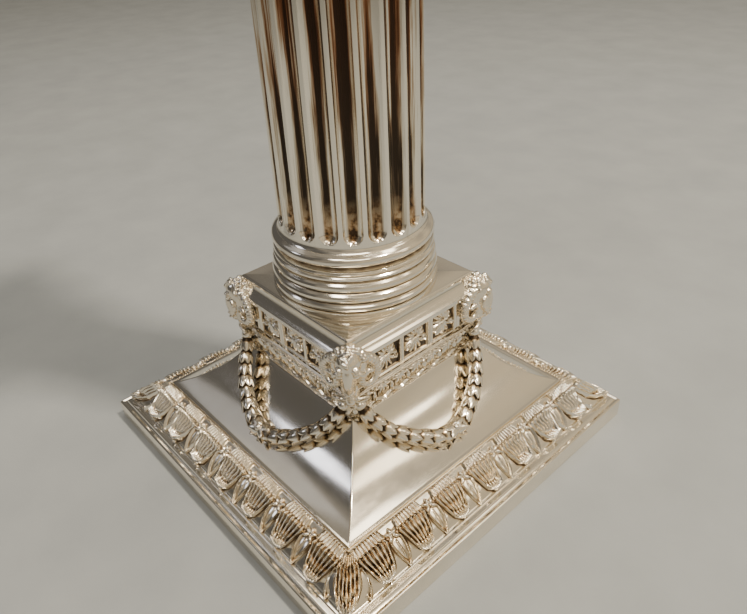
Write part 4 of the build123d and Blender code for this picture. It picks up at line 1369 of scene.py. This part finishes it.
# Everything in its place
def build_candlestick():
    piece("foot_rim_silver", foot_rim(), plain, ["foot_rim"])
    border = build_mesh("leaf_border", leaf_border())
    garland = build_mesh("swag", swag())
    flower = build_mesh("fleuron", fleuron())
    for k, side in enumerate(SIDES):
        piece(f"leaves_{side}", border, ornament, [f"leaf_border_{side}"], turn=90 * k)
        piece(f"garland_{side}", garland, ornament, [f"swag_{side}"], turn=90 * k)
        piece(f"flower_{side}", flower, ornament, [f"fleuron_{side}"], turn=90 * k)
    head = build_mesh("ram_head", ram_head())
    scroll = build_mesh("volute", volute())
    for k, corner in enumerate(CORNERS):
        piece(f"ram_{corner}", head, ornament, [f"ram_head_{corner}"], turn=45 + 90 * k)
        piece(f"scroll_{corner}", scroll, ornament, [f"volute_{corner}"], turn=45 + 90 * k)
    upper = frieze(UPPER_FRIEZE_HALF, UPPER_FRIEZE_BOTTOM, UPPER_FRIEZE_TOP, upper_frieze_relief)
    lower = frieze(LOWER_FRIEZE_HALF, DIE_BOTTOM, LOWER_FRIEZE_TOP, lower_frieze_relief)
    for name, part, finish, node in (
            ("riser", plinth_riser(), plain, "plinth_riser"),
            ("lower_frieze", lower, ornament, "frieze_lower"),
            ("frieze_moulding", die_moulding(), plain, "die_moulding"),
            ("upper_frieze", upper, ornament, "frieze_upper"),
            ("cornice_plate", cornice(), plain, "cornice"),
            ("column_foot", column_base(), plain, "column_base"),
            ("fluted_shaft", column_shaft(), column, "column_shaft"),
            ("column_neck", neck_ring(), plain, "neck_ring"),
            ("bell", capital_bell(), ornament, "capital_bell"),
            ("leaves_upper", acanthus_upper(), ornament, "acanthus_upper"),
            ("leaves_lower", acanthus_lower(), ornament, "acanthus_lower"),
            ("abacus_slab", abacus(), plain, "abacus"),
            ("socket_cup", candle_socket(), plain, "candle_socket")):
        piece(name, part, finish, [node])


def build_nozzle():
    for name, part, finish, node in (
            ("sleeve", nozzle_sleeve(), plain, "nozzle_sleeve"),
            ("pan", drip_pan(), plain, "drip_pan"),
            ("pan_border", drip_pan_border(), ornament, "drip_pan_border"),
            ("collar", nozzle_collar(), plain, "nozzle_collar")):
        piece(name, part, finish, [node], "nozzle")


def dress_frame():
    """Materials for the CAD pieces that stay as they are, inside and under the candlestick."""
    iron_material, pitch_material = iron(), pitch()
    for node, material in (
            ("tie_rod", iron_material), ("lower_washer", iron_material), ("upper_washer", iron_material),
            ("lower_nut", iron_material), ("upper_nut", iron_material), ("base_loading", pitch_material),
            ("column_loading", pitch_material), ("capital_loading", pitch_material),
            ("base_board", wood()), ("baize", felt())):
        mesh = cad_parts[node].data
        mesh.materials.clear()
        mesh.materials.append(material)


# Studio
CAMERA_PLACE = (0.13765, -0.11267, 0.16402)     # metres
CAMERA_AZIMUTH = 49.11                          # degrees, from -Y towards +X
CAMERA_ELEVATION = 33.4245
CAMERA_ROLL = -2.986
LENS = 31.64                                    # millimetres, with a sensor 36 mm wide
LAMP_TARGET = (0, 0, 0.08)                      # what the lamps point at, in metres


def add_camera():
    """The camera, looking down at the foot from one corner."""
    az, el, roll = (math.radians(a) for a in (CAMERA_AZIMUTH, CAMERA_ELEVATION, CAMERA_ROLL))
    back = Vector((math.sin(az) * math.cos(el), -math.cos(az) * math.cos(el), math.sin(el)))
    level = Vector((math.cos(az), math.sin(az), 0))
    upright = back.cross(level)
    right = math.cos(roll) * level + math.sin(roll) * upright
    up = math.cos(roll) * upright - math.sin(roll) * level
    data = bpy.data.cameras.new("camera")
    data.lens = LENS
    data.sensor_width = 36
    data.clip_start = 0.005
    camera = add_object("camera", data)
    facing = Matrix((right, up, back)).transposed().to_4x4()
    camera.matrix_world = Matrix.Translation(CAMERA_PLACE) @ facing
    bpy.context.scene.camera = camera


def add_lamp(name, azimuth, elevation, distance, size, power, colour):
    """A soft rectangular lamp that points at the foot; azimuth is in degrees from +X."""
    a, e = math.radians(azimuth), math.radians(elevation)
    direction = Vector((math.cos(a) * math.cos(e), math.sin(a) * math.cos(e), math.sin(e)))
    data = bpy.data.lights.new(name, "AREA")
    data.shape = "RECTANGLE"
    data.size, data.size_y = size
    data.energy = power
    data.color = colour
    lamp = add_object(name, data)
    lamp.location = direction * distance + Vector(LAMP_TARGET)
    lamp.rotation_euler = direction.to_track_quat("Z", "Y").to_euler()


LAMPS = (   # name, azimuth, elevation, distance in metres, size in metres, power in watts, colour
    ("key", 26, 63, 1.2, (0.09, 0.09), 15.0, (1.0, 0.87, 0.68)),
    ("ceiling_1", 150, 68, 1.1, (0.40, 0.34), 2.6, (1.0, 0.92, 0.78)),
    ("ceiling_2", -80, 64, 1.1, (0.20, 0.20), 1.6, (1.0, 0.93, 0.82)),
    ("ceiling_3", 85, 80, 1.1, (0.16, 0.16), 1.0, (1.0, 0.90, 0.74)),
    ("camera_side", -38, 56, 1.0, (0.50, 0.13), 1.5, (1.0, 0.92, 0.77)),
    ("window", -132, 31, 1.2, (0.18, 0.20), 0.42, (0.80, 0.84, 1.0)),
    ("left_card", -154, 42, 1.2, (0.34, 0.44), 0.15, (0.97, 0.97, 1.0)),
    ("high_card", 72, 66, 1.2, (0.30, 0.18), 0.9, (1.0, 0.91, 0.74)),
    ("right_card", 40, 42, 1.3, (0.35, 0.22), 0.8, (1.0, 0.88, 0.68)),
    ("far_right", 33, 24, 1.3, (0.18, 0.10), 0.25, (1.0, 0.90, 0.72)),
)
FLOOR_HALF = 15.0               # metres
# the direction that the room grows lighter in, and how fast
ROOM_LIGHT = (0.42, 0.26, 0.10)
ROOM_STOPS = ((0.20, (0.10, 0.095, 0.088)), (0.50, (0.31, 0.28, 0.235)), (0.90, (0.66, 0.56, 0.40)))


def add_studio():
    """A plain pale floor, soft lamps and a dim plain room."""
    corners = [(x * FLOOR_HALF, y * FLOOR_HALF, 0.0) for x, y in ((-1, -1), (1, -1), (1, 1), (-1, 1))]
    mesh = bpy.data.meshes.new("floor")
    mesh.from_pydata(corners, [], [(0, 1, 2, 3)])
    paper = Surface("floor_paper")
    tone = paper.ramp(paper.noise(30, 4), (0.3, (0.285, 0.305, 0.32)), (0.7, (0.325, 0.345, 0.36)))
    grain = paper.bump(paper.noise(1500, 4), 0.00004)
    mesh.materials.append(paper.finish(Base_Color=tone, Roughness=0.85, Normal=grain))
    add_object("floor", mesh)
    for lamp in LAMPS:
        add_lamp(*lamp)
    add_room()


def add_room():
    """A dim plain room, warmer and lighter towards +X, that the silver mirrors."""
    world = bpy.data.worlds.new("room")
    bpy.context.scene.world = world
    world.use_nodes = True
    room = Nodes(world.node_tree, "Generated")
    towards = room.add("VectorMath", i0=room.place, i1=ROOM_LIGHT)
    towards.operation = "DOT_PRODUCT"
    lightness = room.plus(towards.outputs["Value"], room.noise(3.4, 1.5, 0.5))
    room.put(room.ramp(lightness, *ROOM_STOPS), room.tree.nodes["Background"].inputs["Color"])


add_camera()
add_studio()
build_candlestick()
build_nozzle()
dress_frame()
